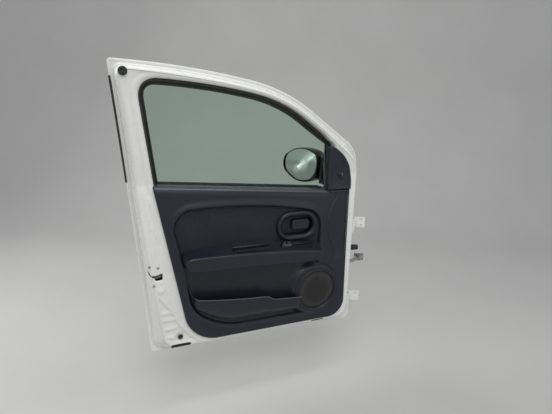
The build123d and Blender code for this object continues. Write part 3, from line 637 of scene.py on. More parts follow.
def panel_relief(p, well):
    """How far the pressed face stands inboard of its plane."""
    h = -4.0 * ease(signed(p, SUNK) / 8)
    h -= 4.5 * ease(signed(p, CHANNEL) / 7)
    for path, height, width in ((S_CREASE, 2.0, 7), (SHOULDER, 2.2, 8), (BORDER, 2.4, 4.5),
                                *((ends, 5.0, 6.0) for ends in BEADS)):
        h += ridge_along(p, path, height, width)
    h += hump(p, (-855, 285), 4.5, 12)
    h -= hump(p, PLUG, 2.0, 17, 3)
    h -= 4.0 * ease(1 + (signed(p, well) + 16) / 30)
    return h


def panel_wall(curl):
    """The rounded edge of the face, the wall down from it, and its turn onto the flange."""
    out, spread = outward(BOX_FACE), outward(BOX_FOOT)
    face, foot, deep = face_y(BOX_FACE[:, 1]), flange_y(BOX_FOOT[:, 1]), np.maximum(curl, 8)
    rings = []
    for a in np.radians(np.linspace(0, 90, 7)):
        rings.append(xyz(BOX_FACE - out * curl[:, None] * (1 - sin(a)), face + deep * (1 - cos(a))))
    for t in (0.3, 0.6, 0.9):
        rings.append(xyz(BOX_FACE * (1 - t) + BOX_FOOT * t,
                         face + deep + (foot - face - deep - FOOT_CURL) * t))
    for a in np.radians((0, 30, 60, 90)):
        p = BOX_FOOT + spread * 4.5 * (1 - cos(a))
        rings.append(xyz(p, flange_y(p[:, 1]) - FOOT_CURL * (1 - sin(a))))
    flat = BOX_FOOT + spread * 5.6
    rings.append(xyz(flat, flange_y(flat[:, 1])))
    return strip(rings, flip=area(BOX_FACE) > 0), flat


def panel_well(well, roll):
    """The window well: rolled in from the face and carried down to the seal's seat."""
    around, rings = outward(well), []
    for a in np.radians(np.linspace(0, 90, 8)):
        p = well + around * roll * (1 - sin(a))
        rings.append(xyz(p, face_y(p[:, 1]) + WELL_SINK * (1 - cos(a))))
    rim = face_y(well[:, 1]) + WELL_SINK
    for t in (0.5, 1.0):
        rings.append(xyz(well, rim + (glass_y(well[:, 1]) + 10 - rim) * t))
    return strip(rings, flip=area(well) < 0)


def panel_pressing():
    """The inner panel in one sheet, from the window well to the flange under the hem."""
    well = even(grown(WINDOW, seal_width(WINDOW)), 340)
    roll = np.clip(signed(well, BOX_FACE) * 0.42, 3.5, 19)[:, None]
    gap = np.clip(-signed(BOX_FACE, well) * 0.5, 4.0, 13)
    curl = 8 + (gap - 8) * ease((BOX_FACE[:, 1] - BELT - 20) / 80)
    wall, flat = panel_wall(curl)
    inner, hole = BOX_FACE - outward(BOX_FACE) * curl[:, None], well + outward(well) * roll
    v, f = field(inner, [hole, MOUTH, stadium(CUP, 176, 116), circle(SPEAKER, 96)], 5.5)
    fade = ease(signed(v, inner) / 8) * ease(-signed(v, hole) / 8)
    sheet = (xyz(v, face_y(v[:, 1]) - panel_relief(v, well) * fade), f)
    flange = face_over(grown(HEM, -3), flange_y, holes=[flat], step=7)
    mouth = band(MOUTH, face_y, [(0, 0.0), (0, 2.0)])
    whole = joined(sheet, wall, flange, panel_well(well, roll), mouth)
    piece = link("panel_pressing", whole, PAINT, weld=WELD)
    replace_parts(piece, "inner_panel")


panel_pressing()


def outer_panel():
    """The skin, folded round the inner panel's flange, with its window, handle and lock openings."""
    holes = [even(grown(WINDOW, 8), 300), stadium((-800, BELT - 124), 120, 64),
             circle((-892, BELT - 124), 12, 40)]
    outside = face_over(grown(HEM, -1.6), skin_y, holes=holes, step=8, back=True)
    fold = band(HEM, skin_y, [(-1.6, 0.0), (-0.5, -0.5), (0.0, -1.6), (0.0, -3.2), (-0.5, -4.2),
                              (-1.6, -4.7), (-7.8, -4.7), (-8.7, -4.2), (-9.0, -3.0)])
    rims = [band(p, skin_y, [(0, 0), (0, -1.5)], flip=True) for p in holes]
    piece = link("outer_panel", joined(outside, fold, *rims), PAINT, weld=WELD)
    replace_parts(piece, "outer_skin")


outer_panel()


def applique():
    """Black strip on the rear of the window frame, wrapped round the edge of the door."""
    rear = HEM[(HEM[:, 0] < -880) & (HEM[:, 1] > BELT - 5) & (HEM[:, 1] < BELT + 360)]
    path = even(rear[np.argsort(-rear[:, 1])], 90, closed=False)
    edge = band(path, skin_y, [(1.2, 2.4), (2.2, 1.8), (2.5, 0.6), (2.5, -4.6), (1.6, -6.0),
                               (-3.4, -6.1), (-4.4, -5.6), (-4.7, -4.6)], closed=False)
    ends = [(-852, BELT - 5), (-903, BELT + 371)]
    cover = even(np.vstack([grown(path, 1.2, closed=False), ends]), 240)
    face = face_over(cover, skin_y, 2.4, step=14, back=True)
    side = band(cover, skin_y, [(0, 2.4), (0, 0)])
    piece = link("applique", joined(face, side, edge), GLOSS)
    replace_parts(piece, "pillar_applique")


applique()


def window_pane():
    """The pane, a little larger than the window opening and let down into the door."""
    p = even(grown(WINDOW, 6), 300)
    p[:, 1] -= 55 * (p[:, 1] < belt(p[:, 0]) + 3)
    sides = [face_over(p, glass_y, -2, step=22), face_over(p, glass_y, 2, step=22, back=True)]
    edge = band(p, glass_y, [(0, 2), (0, -2)])
    piece = link("window_pane", joined(*sides, edge), TINT, weld=WELD)
    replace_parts(piece, "door_glass")


window_pane()


def latch():
    """The latch's box in its mouth and the hook's slot, both dark as painted shade inside the
    openings, the fork and three screws.
    """
    back = face_over(grown(MOUTH, 1), face_y, 26, step=4)
    box = link("latch_box", joined(band(MOUTH, face_y, [(0, 2), (1, 26)]), back), DARK_TRIM_AND_SHADE)
    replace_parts(box, "latch")
    hook = np.array([(-878, -0.6, 344.5), (-883, -0.2, 346.5), (-888, 2.4, 350), (-892, 8, 354),
                     (-895, 17, 358), (-898, 28, 361)]) + (0, FACE, 0)
    half = np.array([4.6, 3.6, 2.8, 2.4, 2.0, 0.8])[:, None] * np.array((0.45, 0, 0.9))
    slot = strip([hook - half, hook + half - (0.25, 0.25, 0)], closed=False, flip=True)
    link("latch_hook_slot", slot, DARK_TRIM_AND_SHADE)
    fork = joined(bar((-866, FACE + 12, 341), (-848, FACE + 12, 341), 3.4),
                  bar((-880, FACE + 16, 333), (-852, FACE + 16, 334), 2.6))
    link("latch_fork", fork, STEEL)
    for i, at in enumerate([(-893, 386), (-880, 309), (-862, 378)]):
        head = turned(at, FACE, [(5.2, 0.2), (5.2, 1.0), (4.2, 1.9), (2.2, 2.0), (1.8, 0.8),
                                 (0.01, 0.7)], 24)
        link(f"latch_screw_{i}", head, STEEL)


latch()


def glass_channel():
    """Rubber round the glass, with two lips on the inside and a finisher up to the paint, in a
    lighter grey as painted sheen.
    """
    path = even(GLASS_EDGE, 380, closed=False)[::-1]
    lips = [(13.4, -12), (13.2, -21), (12.2, -24.6), (10.8, -25.4), (9.4, -24.2), (9.0, -21.0),
            (8.2, -20.6), (7.2, -23.4), (5.4, -24.0), (3.6, -21.6), (1.4, -12.0), (0.2, -4.6),
            (0.8, -2.6), (2.6, -2.4), (6.0, -2.3)]
    outer = [(6.0, 2.3), (1.6, 2.6), (0.4, 5.0), (2.4, 8.2), (7.0, 9.6), (13.6, 9.6)]
    shares = [(1.02, -11), (1.0, -18), (0.94, -21.5), (0.84, -24.2), (0.73, -26.6), (0.68, -27.2),
              (0.63, -26.2), (0.61, -22)]
    finisher = [(share * seal_width(path), past) for share, past in shares]
    lips, outer, finisher = (band(path, glass_y, corners, closed=False, flip=True)
                             for corners in (lips, outer, finisher))
    piece = link("glass_channel", joined(lips, outer), RUBBER)
    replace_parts(piece, "glass_run")
    link("glass_finisher", finisher, SEAL_SHEEN)


glass_channel()


def rubber_stops():
    """Rubber stop at the upper rear corner, with a dark patch as painted shade in the notch in its
    lower half, and the drain cap.
    """
    x, z = -948, BELT + 371
    top = face_y(z) - 6.5
    stop = turned((x, z), top, [(14, -7), (14, -2.5), (13, -0.6), (11, 0), (7.5, -0.3),
                                (6.4, -2.2), (0.01, -2.4)], 48)
    piece = link("corner_stop", stop, RUBBER)
    notch = turned((x, z - 6), top, [(5.0, -1.4), (4.6, 0.3), (0.01, 0.4)], 24)
    link("corner_stop_notch", notch, DARK_TRIM_AND_SHADE)
    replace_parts(piece, "rubber_stop")
    cap = turned(PLUG, FACE, [(10.5, 1.2), (10.2, 2.2), (8.6, 2.8), (6.0, 2.4), (5.0, 1.2),
                              (0.01, 1.0)], 36)
    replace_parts(link("drain_cap", cap, RUBBER), "drain_plug")


rubber_stops()


def drain_slots():
    """Dark patches on the bend at the foot of the panel's face, painted shade where the drain
    openings are.
    """
    bend, proud = 8.0, 0.4
    for name, centre, long, tall, drop in (("rear", -788, 78, 15, 0), ("front", -180, 62, 10, 5)):
        ring = stadium((centre, 0), long, tall, 60)
        levels = []
        for size in (1.0, 0.75, 0.4, 0.03):
            x = centre + (ring[:, 0] - centre) * size
            way = -ring[:, 1] * size + drop
            a = np.clip(way / bend, 0, 1.5)
            edge = 34 - (x + 847) * 12 / 819 + bend
            levels.append(np.column_stack([
                x, FACE + bend - (bend + proud) * np.cos(a),
                edge - (bend + proud) * np.sin(a) - np.minimum(way, 0)]))
        link(f"drain_slot_{name}", strip(levels), DARK_TRIM_AND_SHADE)


drain_slots()


def slit():
    """A dark patch on the flange beside the latch edge, painted shade where a small slit is."""
    at, lean = (-915, 549), np.array([[0.35, -0.94], [0.94, 0.35]])
    pts = stadium((0, 0), 9, 4.4, 24) @ lean.T + at
    steps = [(0, 0), (0, 0.3), (0.06, 0.44), (0.2, 0.5)]
    link("panel_slit", block(pts, flange_y(at[1]) - 0.1, steps, 3), DARK_TRIM_AND_SHADE)


slit()


# Door card
CARD = outline(
    (-869, belt(-869)),
    [(-768, 150), ((-731, 86), (-648, 47)), (-145, 39), ((-86, 53), (-55, 110)),
     ((-60, 299), (-66, belt(-66) + 6)), (-178, belt(-178))],
)
CREST = outline(
    (-736, BELT - 92),
    [((-500, BELT - 96), (-262, BELT - 130)), ("on", (-196, BELT - 212)), (-206, 86), (-540, 92),
     ("on", (-704, 150)), ("on", (-757, 245)), ("on", (-806, 500)), ("on", (-736, BELT - 92))],
)
# The sunk front of the card, ahead of a curved crease
FRONT_CREASE = [(-178, 632), (-148, 617), (-126, 602), (-127, 590), (-141, 571), (-156, 536),
                (-165, 500), (-164, 462), (-156, 428), (-142, 392), (-130, 350), (-126, 310)]
FRONT = np.array(FRONT_CREASE + [(-60, 300), (-20, 420), (-20, 660), (-150, 660)], float)
SIDE_CREASE = [(-206, 400), (-188, 372), (-178, 340), (-172, 306)]
RIDGE, SUNK_DEEP = 7.0, 7.0
SHOULDER_FALL, SHOULDER_DEEP = 30.0, 21.0


def shoulder(p):
    """The rounded top edge, which turns outboard towards the glass."""
    t = np.clip((p[:, 1] - belt(p[:, 0]) + SHOULDER_FALL) / SHOULDER_FALL, 0, 0.999)
    return SHOULDER_DEEP * (1 - dome(t)) * ease((-(p[:, 0] + 150)) / 30)


def card_y(p):
    """Depth of the card: a soft crest round a sunk field, creases and the rounded top."""
    d = signed(p, CREST)
    spread = 16 + 8 * ease((p[:, 1] - 120) / 200)
    up = np.where(d < 0, RIDGE * ease(1 + d / spread),
                  RIDGE - (RIDGE + SUNK_DEEP) * ease((d - 2) / 9))
    up = up - 6.0 * ease(signed(p, FRONT) / 7 + 0.5) * ease((p[:, 1] - 300) / 60)
    up = up + ridge_along(p, FRONT_CREASE, 3.2, 3.6) * ease((p[:, 1] - 300) / 50)
    up = up + ridge_along(p, SIDE_CREASE, 2.6, 6)
    return TRIM - up + shoulder(p)


def door_card():
    curl, seat, out = 7.0, shoulder(CARD), outward(CARD)
    rings = [xyz(CARD, np.maximum(FACE + 0.5, TRIM + curl + seat))]
    for a in np.radians(np.linspace(90, 0, 6)):
        rings.append(xyz(CARD - out * curl * (1 - sin(a)), TRIM + curl * (1 - cos(a)) + seat))
    x = np.arange(-850, -150, 6.0)
    crease = even(np.array(FRONT_CREASE, float), 120, closed=False)
    closer = [
        *(grown(CREST, d) for d in (-14, -11, -9, -7, -5, -3, -1, 2, 5, 9, 13, 18)),
        *(np.column_stack([x, belt(x) - fall]) for fall in (9, 11, 13, 16, 19, 23, 27, 31)),
        *(grown(crease, d, closed=False) for d in (-7, -4.5, -2.2, 0, 2.2, 4.5, 7))]
    v, f = field(CARD - out * curl, [circle(SPEAKER, 92), stadium(CUP, 160, 100)], 6.5, closer)
    rim = strip(rings, flip=area(CARD) < 0)
    piece = link("door_card", joined(rim, (xyz(v, card_y(v)), f)), GRAIN, weld=WELD)
    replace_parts(piece, "trim_panel")


door_card()


def belt_ledge():
    """The sill of the window, rolled over the card's top edge, in a lighter colour as painted
    highlight.
    """
    x = np.linspace(-864, -158, 120)
    roll = [(TRIM + SHOULDER_DEEP * (1 - dome(1 - drop / SHOULDER_FALL)) - 0.7, drop)
            for drop in (10.0, 8.0, 6.0, 4.0, 2.2, 1.0, 0.3)]
    corners = [(0, y, -drop) for y, drop in (*roll, (-29, 0.0), (-20, 0.2), (-4, 0.6), (3, 2.5))]
    link("belt_ledge", bead(np.column_stack([x, 0 * x, belt(x)]), corners), HIGHLIGHT_TRIM)


belt_ledge()


def crease_highlight():
    """A bead of painted highlight along the edge of the crease at the front of the card."""
    path = even(np.array(FRONT_CREASE[:8], float), 80, closed=False)
    slim = np.sin(np.linspace(0.15, pi - 0.1, 80))
    rings = []
    for side, high in ((-1.5, -0.6), (-0.8, 0.9), (0.3, 1.3), (1.3, 0.5), (1.8, -0.8)):
        p = grown(path, side * slim[:, None], closed=False)
        rings.append(xyz(p, card_y(p) - high * slim))
    link("crease_highlight", strip(rings, closed=False), HIGHLIGHT_TRIM)


crease_highlight()


def insert():
    """Fabric with fine upright ribs, in the upper part of the sunk field."""
    top, pitch = grown(CREST, -9.5), 4.2
    v, f = field(top, [stadium(CUP, 180, 118)], 5.0)
    base = (xyz(v, FLOOR - 0.8), f[v[f][:, :, 1].min(1) > BELT - 296])
    x, z = np.arange(-800, -190, 1.05), np.arange(BELT - 300, BELT - 96, 8.0)
    gx, gz = np.meshgrid(x, z)
    p = np.column_stack([gx.ravel(), gz.ravel()])
    rib = 0.5 + 0.5 * np.cos(2 * pi * p[:, 0] / pitch)
    strong = np.exp(-((p[:, 0] + 520) / 190) ** 2) * (0.25 + 0.75 * ease((BELT - 120 - p[:, 1]) / 90))
    inside = (signed(p, top) > 0.5) & (signed(p, stadium(CUP, 182, 120)) < 0)
    n, faces = len(x), []
    for first in range(len(p) - n):
        quad = (first, first + 1, first + n + 1, first + n)
        if (first + 1) % n and inside[list(quad)].all():
            faces.append(quad)
    cloth = (xyz(p, FLOOR - 1.6 - 1.1 * rib * strong), faces)
    piece = link("insert_fabric", joined(base, cloth), CLOTH)
    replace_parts(piece, "trim_insert")


insert()


# Fittings on the door card
def armrest_line(top_rear, top_mid, top_front, nose, low_front, low_mid, low_rear):
    """The armrest's outline, from a point that its seat and its front share."""
    pts = outline(top_rear, [(top_mid, top_front), nose, low_front, (low_mid, low_rear)],
                  [(top_rear, 30), (low_rear, 30), (low_front, 16), (nose, 14)], 4)
    rear = np.add(top_rear, low_rear) / 2 - (20, 0)
    start = np.linalg.norm(pts - rear, axis=1).argmin()
    return even(np.roll(pts, -start, axis=0), 260)


ARM_SEAT = armrest_line((-784, 434), (-530, 443), (-314, 430), (-198, 410), (-200, 348),
                        (-500, 352), (-768, 362))
ARM_FRONT = armrest_line((-774, 425), (-530, 419), (-320, 405), (-214, 392), (-214, 348),
                         (-500, 358), (-764, 370))
ARM_DEEP, ARM_CURL = 67.0, 9


def armrest():
    """The armrest with its pull cup and a blank recess cut into its top, each lined in a darker
    colour as painted shade.
    """
    tip = FLOOR - ARM_DEEP + ARM_CURL
    levels = [(ARM_SEAT * (1 - t) + ARM_FRONT * t, FLOOR + (tip - FLOOR) * t)
              for t in np.linspace(0, 1, 7)]
    levels += [(grown(ARM_FRONT, -ARM_CURL * (1 - cos(a))), tip - ARM_CURL * sin(a))
               for a in np.radians((22, 45, 67, 90))]
    piece = link("armrest_body", skin_over(levels, 6), GRAIN, weld=WELD)
    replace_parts(piece, "armrest")
    for name, x, y, low, high in (("pull", (-591, -441), (-101, -76), 394, 432),
                                  ("blank", (-328, -250), (-92, -76), 408, 416)):
        opening = box_line(x, y, 9)
        n = len(opening)
        verts, walls = strip([plan(opening, low), plan(opening, 470)])
        ends = [list(range(n))[::-1], list(range(n, 2 * n))]
        carve(piece, link(f"{name}_cutter", (verts, walls + ends), DARK_TRIM_AND_SHADE))
        v, f = field(grown(opening, -0.3))
        sides = strip([plan(grown(opening, -0.35), z) for z in (low + 0.5, high)], flip=True)
        # Liner darker than the card: painted shade in the recess
        link(f"{name}_liner", joined(sides, (plan(v, low + 0.5), f)), DARK_TRIM_AND_SHADE)
    piece.data.polygons.foreach_set("use_smooth", [True] * len(piece.data.polygons))


armrest()


def window_switch():
    """Two rockers in a gloss housing, each with a strip of painted highlight along its edge."""
    x, y, top = (-392, -346), (-99, -79), 431.0
    housing = upright(box_line(x, y, 5), top, [(0, -14), (0, -1.2), (0.5, -0.4), (1.6, 0)])
    piece = link("switch_housing", housing, GLOSS)
    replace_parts(piece, "window_switch")
    for i in range(2):
        left = x[0] + 5 + i * 19
        cap = upright(box_line((left, left + 16), (y[0] + 4, y[1] - 4), 3), top,
                      [(0, -1), (0, 2.2), (0.4, 3.0), (1.4, 3.4)])
        cap[0][:, 2] += np.where(cap[0][:, 2] > top, 1.6 * ((cap[0][:, 1] - np.mean(y)) / 6) ** 2, 0)
        link(f"switch_rocker_{i}", cap, GLOSS)
        edge = upright(box_line((left + 2, left + 14), (y[0] + 4.2, y[0] + 6.4), 0.8), top,
                       [(0, 2), (0, 5.2), (0.3, 5.4)])
        link(f"switch_edge_highlight_{i}", edge, HIGHLIGHT_TRIM)


window_switch()


# Map pocket
LIP = outline((-741, 248), [((-600, 227), (-452, 214)), (-438, 210), (-420, 197), (-408, 194),
                            (-290, 184)],
              [((-452, 214), 10), ((-408, 194), 10)], step=4, closed=False)
KEEL = outline((-741, 248), [((-722, 192), (-672, 154)), ((-610, 126), (-520, 119)), (-290, 113)],
               step=4, closed=False)
POCKET_END, POCKET_BEND, POCKET_DEEP = -740.5, 24.0, 45.0


def bulge(x):
    """How far the pocket's front stands off the card along its length."""
    return POCKET_DEEP * dome(1 - (x - POCKET_END) / POCKET_BEND)


def map_pocket():
    """The pocket's front, its rear side, its lip with a painted highlight, and its screw."""
    x = np.r_[POCKET_END + 40 * np.linspace(0, 1, 16) ** 2, np.arange(-696, -292, 4.0)]
    lip, keel = (np.interp(x, *line.T) for line in (LIP, KEEL))
    rings = []
    for t in np.linspace(0, 1, 18):
        out = np.sqrt(np.clip(1 - (1 - t) ** 2.4, 0, 1))
        rings.append(np.column_stack([x, FLOOR - bulge(x) * out,
                                      keel + (lip - keel) * (0.02 + 0.98 * t)]))
    for away, rise in ((0.5, 1.2), (1.8, 1.8), (3.2, 1.2), (3.6, -2.0), (3.8, -40.0)):
        rings.append(np.column_stack([x, FLOOR - np.maximum(bulge(x) - away, 0.5),
                                      np.maximum(lip + rise, keel + 1)]))
    piece = link("map_pocket_front", strip(rings, closed=False), GRAIN)
    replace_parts(piece, "map_pocket")
    path = even(np.array([(-771, 366), (-763, 318), (-751, 268), (-742, 248)], float), 24,
                closed=False)
    out = np.linspace(6, 26, 24) * ease(np.linspace(0.3, 1, 24))
    side = [xyz(path + (d, 0), FLOOR - 9 - out * share)
            for d, share in ((-5, -0.4), (-1.6, 0.7), (0, 1.0), (1.4, 0.96), (3.4, 0.5), (6, -0.4))]
    link("pocket_side", strip(side, closed=False), GRAIN)
    edge = bead(xyz(LIP, FLOOR - bulge(LIP[:, 0])),
                [(0, 0.9, -2.2), (0, -0.6, -1.2), (0, -0.9, 0.6), (0, 0.2, 2.1), (0, 2.2, 2.4),
                 (0, 3.4, 1.2)])
    link("pocket_lip_highlight", edge, HIGHLIGHT_TRIM)
    screw = turned((-459, 226), FLOOR, [(4.5, 0.2), (4.5, 1.8), (3.6, 2.6), (0.01, 3.0)], 20)
    link("pocket_screw", screw, GRAIN)


map_pocket()

POD_Y = FLOOR - 24
GRILLE_R, GRILLE_SEAT, GRILLE_DEEP = 88, 3.5, 6.5


def speaker():
    """The fairing, the ring with its grooves, and the domed grille with its rib."""
    n, levels = 128, []
    for t in np.linspace(0, 1, 12):
        centre = np.array(POD_FOOT, float) * (1 - t) + np.array(SPEAKER, float) * t
        levels.append(xyz(circle(centre, 128 * (1 - t) + 103 * t, n),
                          FLOOR + (POD_Y - FLOOR) * (t - 0.10 * sin(2 * pi * t))))
    link("speaker_fairing", strip(levels), GRAIN)
    ring = turned(SPEAKER, POD_Y, [
        (103, -1), (103, 1.6), (102.2, 2.8), (100.8, 3.3), (98.5, 3.0), (97.4, 1.4), (96.4, 1.0),
        (95.0, 1.6), (93.6, 3.4), (91.6, 3.9), (89.4, 3.4), (87.4, 1.6), (86.0, -2.0),
        (84.4, -8.0)], n)
    rim = link("speaker_rim", ring, GRAIN)
    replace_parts(rim, "speaker_ring")
    cloth = turned(SPEAKER, POD_Y + GRILLE_SEAT,
                   [(r, GRILLE_DEEP * dome(r / GRILLE_R)) for r in np.linspace(86, 0.5, 26)], n)
    grille = link("speaker_cloth", cloth, MESH)
    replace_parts(grille, "speaker_grille")
    z = np.linspace(-74, 74, 40)
    middle = np.column_stack([np.full(40, SPEAKER[0]), SPEAKER[1] + z])
    line = xyz(middle, POD_Y + GRILLE_SEAT - GRILLE_DEEP * dome(np.abs(z) / GRILLE_R))
    rib = bead(line, [(-1.6, 0.4, 0), (-0.8, -0.9, 0), (0.8, -0.9, 0), (1.6, 0.4, 0)])
    link("speaker_rib", rib, GRAIN)


speaker()


def inner_handle():
    """The handle's surround, its well in a darker colour as painted shade of the recess, and the
    release lever with three ribs.
    """
    steps = [(184, 124, -0.3), (183, 123, 4), (180, 120, 9), (175, 115, 13), (169, 109, 15.4),
             (163, 103, 16), (157, 96, 15.4), (152, 90, 13.6), (149, 85, 11.0), (148, 83, 9.6),
             (144, 78, 9.4), (142, 76, 8.6), (141, 75, 5), (138, 72, -14)]
    rings = [xyz(stadium(CUP, long, tall, 140), FLOOR - high) for long, tall, high in steps]
    v, f = field(stadium(CUP, 138, 72, 140), step=5)
    bezel = link("handle_surround", joined(strip(rings), (xyz(v, FACE + 9), f)), GRAIN)
    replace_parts(bezel, "handle_bezel")
    link("handle_well", joined(strip(rings[9:]), (xyz(v, FACE + 8.8), f)), DARK_TRIM_AND_SHADE)
    lever = box_line((CUP[0] - 20, CUP[0] + 60), (CUP[1] - 22, CUP[1] + 23), 17, 3)
    grip = block(lever, FACE, [(0, -8), (0, 2), (1.2, 5.0), (4.0, 6.4)], 4)
    piece = link("release_grip", grip, GRAIN)
    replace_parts(piece, "release_lever")
    x = np.linspace(CUP[0] - 10, CUP[0] + 52, 22)
    for i, z in enumerate((-13, 0, 13)):
        rib = bead(xyz(plan(x, CUP[1] + z), FACE - 6.2),
                   [(0, 0.4, -2.4), (0, -1.6, -1.4), (0, -2.2, 0), (0, -1.6, 1.4), (0, 0.4, 2.4)])
        link(f"release_rib_{i}", rib, GRAIN)


inner_handle()

# Sail at the front corner of the window
KNOB = (-114, BELT - 3)
SAIL = outline(
    (-174, belt(-174) + 1),
    [(-184, BELT + 64), (-190, BELT + 114), (-181, BELT + 122), (-168, BELT + 117),
     ((-128, BELT + 92), (-82, BELT + 38)), ((-70, BELT + 7), (-62, belt(-62) + 8))],
    [((-190, BELT + 114), 6), ((-181, BELT + 122), 8)], 4)
SAIL_CREASE = [(-176, 650), (-150, 640), (-120, 640), (-96, 652), (-72, 676)]


def sail():
    """The sail's cover, and the mirror's adjuster knob with its mark."""
    side = band(SAIL, face_y, [(0, 8), (0, -7), (-1.0, -10), (-3.0, -11.6), (-5.5, -12)])
    inner = grown(SAIL, -5.5)
    v, f = field(inner, step=5)
    high = 12 - 3.0 * ease((v[:, 0] + 166) / 14) * ease(signed(v, inner) / 10)
    high = high + ridge_along(v, SAIL_CREASE, 1.0, 6) + hump(v, KNOB, 1.2, 19, 3)
    cover = joined(side, (xyz(v, face_y(v[:, 1]) - high), f))
    piece = link("sail_cover", cover, GRAIN, weld=WELD)
    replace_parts(piece, "sail_trim")
    base = TRIM + 2.0
    knob = turned(KNOB, base, [
        (15, 0), (15, 1.4), (13.6, 2.2), (12, 2.0), (11, 1.4), (10.6, 8.6), (9.8, 10.0),
        (7.0, 10.6), (5.4, 10.0), (0.01, 9.6)], 48)
    cap = link("adjuster_knob", knob, GRAIN)
    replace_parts(cap, "mirror_knob")
    line = box_line((KNOB[0] - 1, KNOB[0] + 1), (KNOB[1] + 2, KNOB[1] + 8), 0.6, 1)
    link("adjuster_mark", block(line, base, [(0, 9.8), (0, 10.9), (0.3, 11.1)], 2), STEEL)


sail()


# Mirror
AIM, MIRROR_AT = radians(28), np.array((-190, 170, BELT + 6), float)
MIRROR_X = np.array((sin(AIM), -cos(AIM), 0))
MIRROR_Z = np.array((0, 0, -1.0))
MIRROR_AHEAD = np.array((cos(AIM), sin(AIM), 0))


def mirror_line(size):
    """Rounded outline of the mirror: across towards the door, and down."""
    corners = [(88, 51), (-54, 55), (-54, -55), (88, -51)]
    steps = list(zip([(10, 73), (-89, 2), (10, -73)], corners[1:]))
    return even(outline(corners[0], steps, [(c, 26) for c in corners], 3), 120) * size


def on_mirror(pts, ahead):
    """Points of the mirror's own outline at a distance ahead of its glass."""
    ahead = np.broadcast_to(ahead, len(pts))[:, None]
    return MIRROR_AT + pts[:, :1] * MIRROR_X + pts[:, 1:] * MIRROR_Z + ahead * MIRROR_AHEAD


def mirror():
    """The housing, its neck, the glass and the frame round it."""
    steps = [(1.02, 6.0), (1.02, -3.4), (1.025, -5.2), (1.035, -6.0), (1.045, -5.0), (1.05, -2.0),
             (1.05, 8), (1.045, 24), (1.03, 40), (0.99, 54), (0.93, 66), (0.84, 76), (0.68, 83.5),
             (0.45, 86.6), (0.1, 87)]
    rings = [on_mirror(mirror_line(size) + (0.2 * max(ahead, 0), 0), ahead) for size, ahead in steps]
    shell = link("mirror_shell", strip(rings, flip=area(mirror_line(1.0)) < 0), GLOSS, "mirror")
    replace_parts(shell, "mirror_housing")
    column = [(14, -53.5), (26, -53), (28, -50), (28, -30), (25.5, 20), (23.2, 50), (21, 57),
              (15, 61), (0.01, 62)]
    neck = strip([plan(circle((-112, 90), r, 48), BELT + up) for r, up in column])
    link("mirror_neck", neck, GLOSS, "mirror")
    edge = even(outline((80, -47), [((83, 2), (62, 53)), ((8, 70), (-53, 54)),
                                    ((-86, 2), (-53, -54)), ((10, -71), (80, -47))],
                        [((80, -47), 12), ((62, 53), 16)], 3), 120)
    v, f = field(edge, step=6)
    glass = link("mirror_face", (on_mirror(v, 2.6), f), SILVER, "mirror")
    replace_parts(glass, "mirror_glass")
    v, f = field(mirror_line(1.02), [grown(edge, -0.3)], 6)
    slope = 4.4 - 1.2 * ease(1 + signed(v, edge) / 8)
    link("mirror_frame", (on_mirror(v, slope), f), DARK_TRIM_AND_SHADE, "mirror")


mirror()


# Hinge bolts and wiring
EDGE_SLOPE = 24 / 105
OFF_EDGE = np.array((1, -EDGE_SLOPE, 0)) / np.hypot(1, EDGE_SLOPE)


def hinge_bolts():
    """Bolt heads with washers on the door's hinge leaves."""
    r, y = 4.6, -28.0
    x = -28 + (y - FACE) * EDGE_SLOPE + 5.1
    steps = [(0, 1.5 * r, 0), (0.9, 1.5 * r, 0), (1.2, 1.4 * r, 0), (1.2, 1.08 * r, 1),
             (3.6, 1.08 * r, 1), (4.3, 0.95 * r, 0.6), (4.4, 0.6 * r, 0), (4.4, 0.01, 0)]
    for level, z in (("upper", 447.0), ("lower", 81.0)):
        for i, rise in enumerate((-15, 15)):
            link(f"hinge_bolt_{level}_{i}", rod(np.array((x, y, z + rise)), OFF_EDGE, steps, 36),
                 PAINT)


hinge_bolts()


def wiring():
    """Rubber bellows between door and pillar."""
    steps = [(0.0, 0.01), (0.2, 14.6), (3.6, 14.9), (4.2, 14.2)]
    steps += [(5 + 4.9 * k + far, wide) for k in range(5) for far, wide in
              ((0, 10.2), (1.2, 12.0), (2.4, 12.6), (3.6, 12.0), (4.6, 10.2))]
    steps += [(30.5, 11.2), (31.5, 12.0), (37.4, 12.0), (38.0, 0.01)]
    start = np.array((-28 + 27 * EDGE_SLOPE, -18, 345.0))
    boot = link("wiring_bellows", rod(start, OFF_EDGE, [(*step, 0) for step in steps], 40), RUBBER)
    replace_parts(boot, "wiring_boot")


wiring()


# Floor, backdrop, light and camera
def backdrop():
    """A pale floor that turns up into a wall."""
    floor_z, wall_y, bend = -0.755, 3.6, 1.6
    a = np.linspace(0, pi / 2, 16)
    y = np.r_[-6.0, np.linspace(-2, wall_y - bend, 8), wall_y - bend + bend * np.sin(a[1:]), wall_y]
    z = np.r_[floor_z, np.full(8, floor_z), floor_z + bend * (1 - np.cos(a[1:])), 5.5]
    rings = [np.column_stack([np.full(len(y), x), y, z]) for x in (-6, 6)]
    paper = made_look("studio_floor", (0.58, 0.58, 0.565), 0.85, (0.97, 1.03), 1.5, 20,
                      (80, 0.05, 0.001)).mat
    sheet = laid("backdrop", *strip(rings, closed=False), paper)
    sheet.rotation_euler = (0, 0, -radians(24))
    sheet.location = (-0.5, 0, 0)


def area_light(name, size, power):
    light = bpy.data.lights.new(name, "AREA")
    light.shape, light.energy = "RECTANGLE", power
    light.size, light.size_y = size
    return placed(name, light)


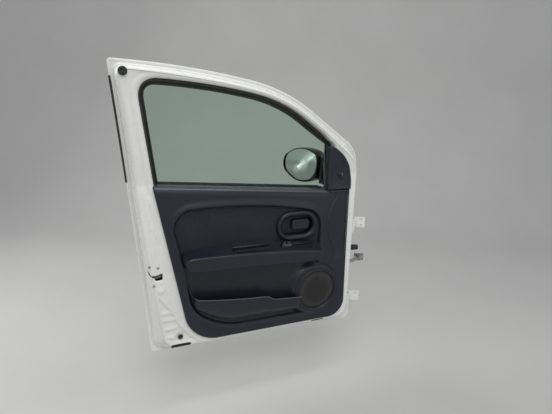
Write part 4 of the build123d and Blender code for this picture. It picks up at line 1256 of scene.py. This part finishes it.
def lamp(name, at, size, power):
    """A soft lamp that looks at the middle of the door."""
    stand = area_light(name, size, power)
    stand.location = at
    stand.rotation_mode = "QUATERNION"
    stand.rotation_quaternion = (Vector((-0.53, 0, 0.1)) - Vector(at)).to_track_quat("-Z", "Y")


def tube(low, high, thick, power):
    """A thin lamp between two points, which shows as a line in the mirror."""
    low, high, glass = (Vector(p) for p in metres([low, high, MIRROR_AT]))
    middle, along = (low + high) / 2, (high - low).normalized()
    back = middle - glass
    back = (back - along * back.dot(along)).normalized()
    axes = Matrix((along, back.cross(along), back)).transposed().to_4x4()
    stand = area_light("tube", ((high - low).length, thick), power)
    stand.matrix_world = Matrix.Translation(middle) @ axes


backdrop()
lamp("key", (-1.3, -2.5, 2.7), (2.4, 1.5), 47)
lamp("fill", (1.2, -2.6, 0.6), (2.0, 2.0), 9)
lamp("top", (-0.5, -1.0, 2.7), (2.8, 0.5), 20)
lamp("rim", (-2.4, 1.4, 1.4), (1.6, 1.6), 30)
tube((-3127, 580, 138), (-3110, 354, 336), 0.012, 0.06)

world = bpy.data.worlds.new("studio")
bpy.context.scene.world = world
world.use_nodes = True
sky = world.node_tree.nodes["Background"].inputs
sky["Color"].default_value = (0.82, 0.84, 0.86, 1)
sky["Strength"].default_value = 0.50


def camera():
    """The camera as fitted to the photo: pitch, roll, heading and focal length in photo pixels."""
    pitch, roll, heading, focal, wide = radians(15.4), radians(1.7), (0.407, 0.914), 430.0, 552.0
    ahead = Vector((heading[0] * cos(pitch), heading[1] * cos(pitch), -sin(pitch))).normalized()
    right = ahead.cross(Vector((0, 0, 1))).normalized()
    up = right.cross(ahead)
    axes = (right * cos(roll) + up * sin(roll), -right * sin(roll) + up * cos(roll), -ahead)
    lens = bpy.data.cameras.new("camera")
    lens.sensor_width, lens.lens, lens.clip_start = 36.0, focal * 36.0 / wide, 0.05
    eye = placed("camera", lens)
    place = metres([(-1065, -1541, 1022)])[0]
    eye.matrix_world = Matrix.Translation(place) @ Matrix(axes).transposed().to_4x4()
    bpy.context.scene.camera = eye


camera()
bpy.context.scene.view_settings.view_transform = "Standard"
bpy.context.view_layer.update()
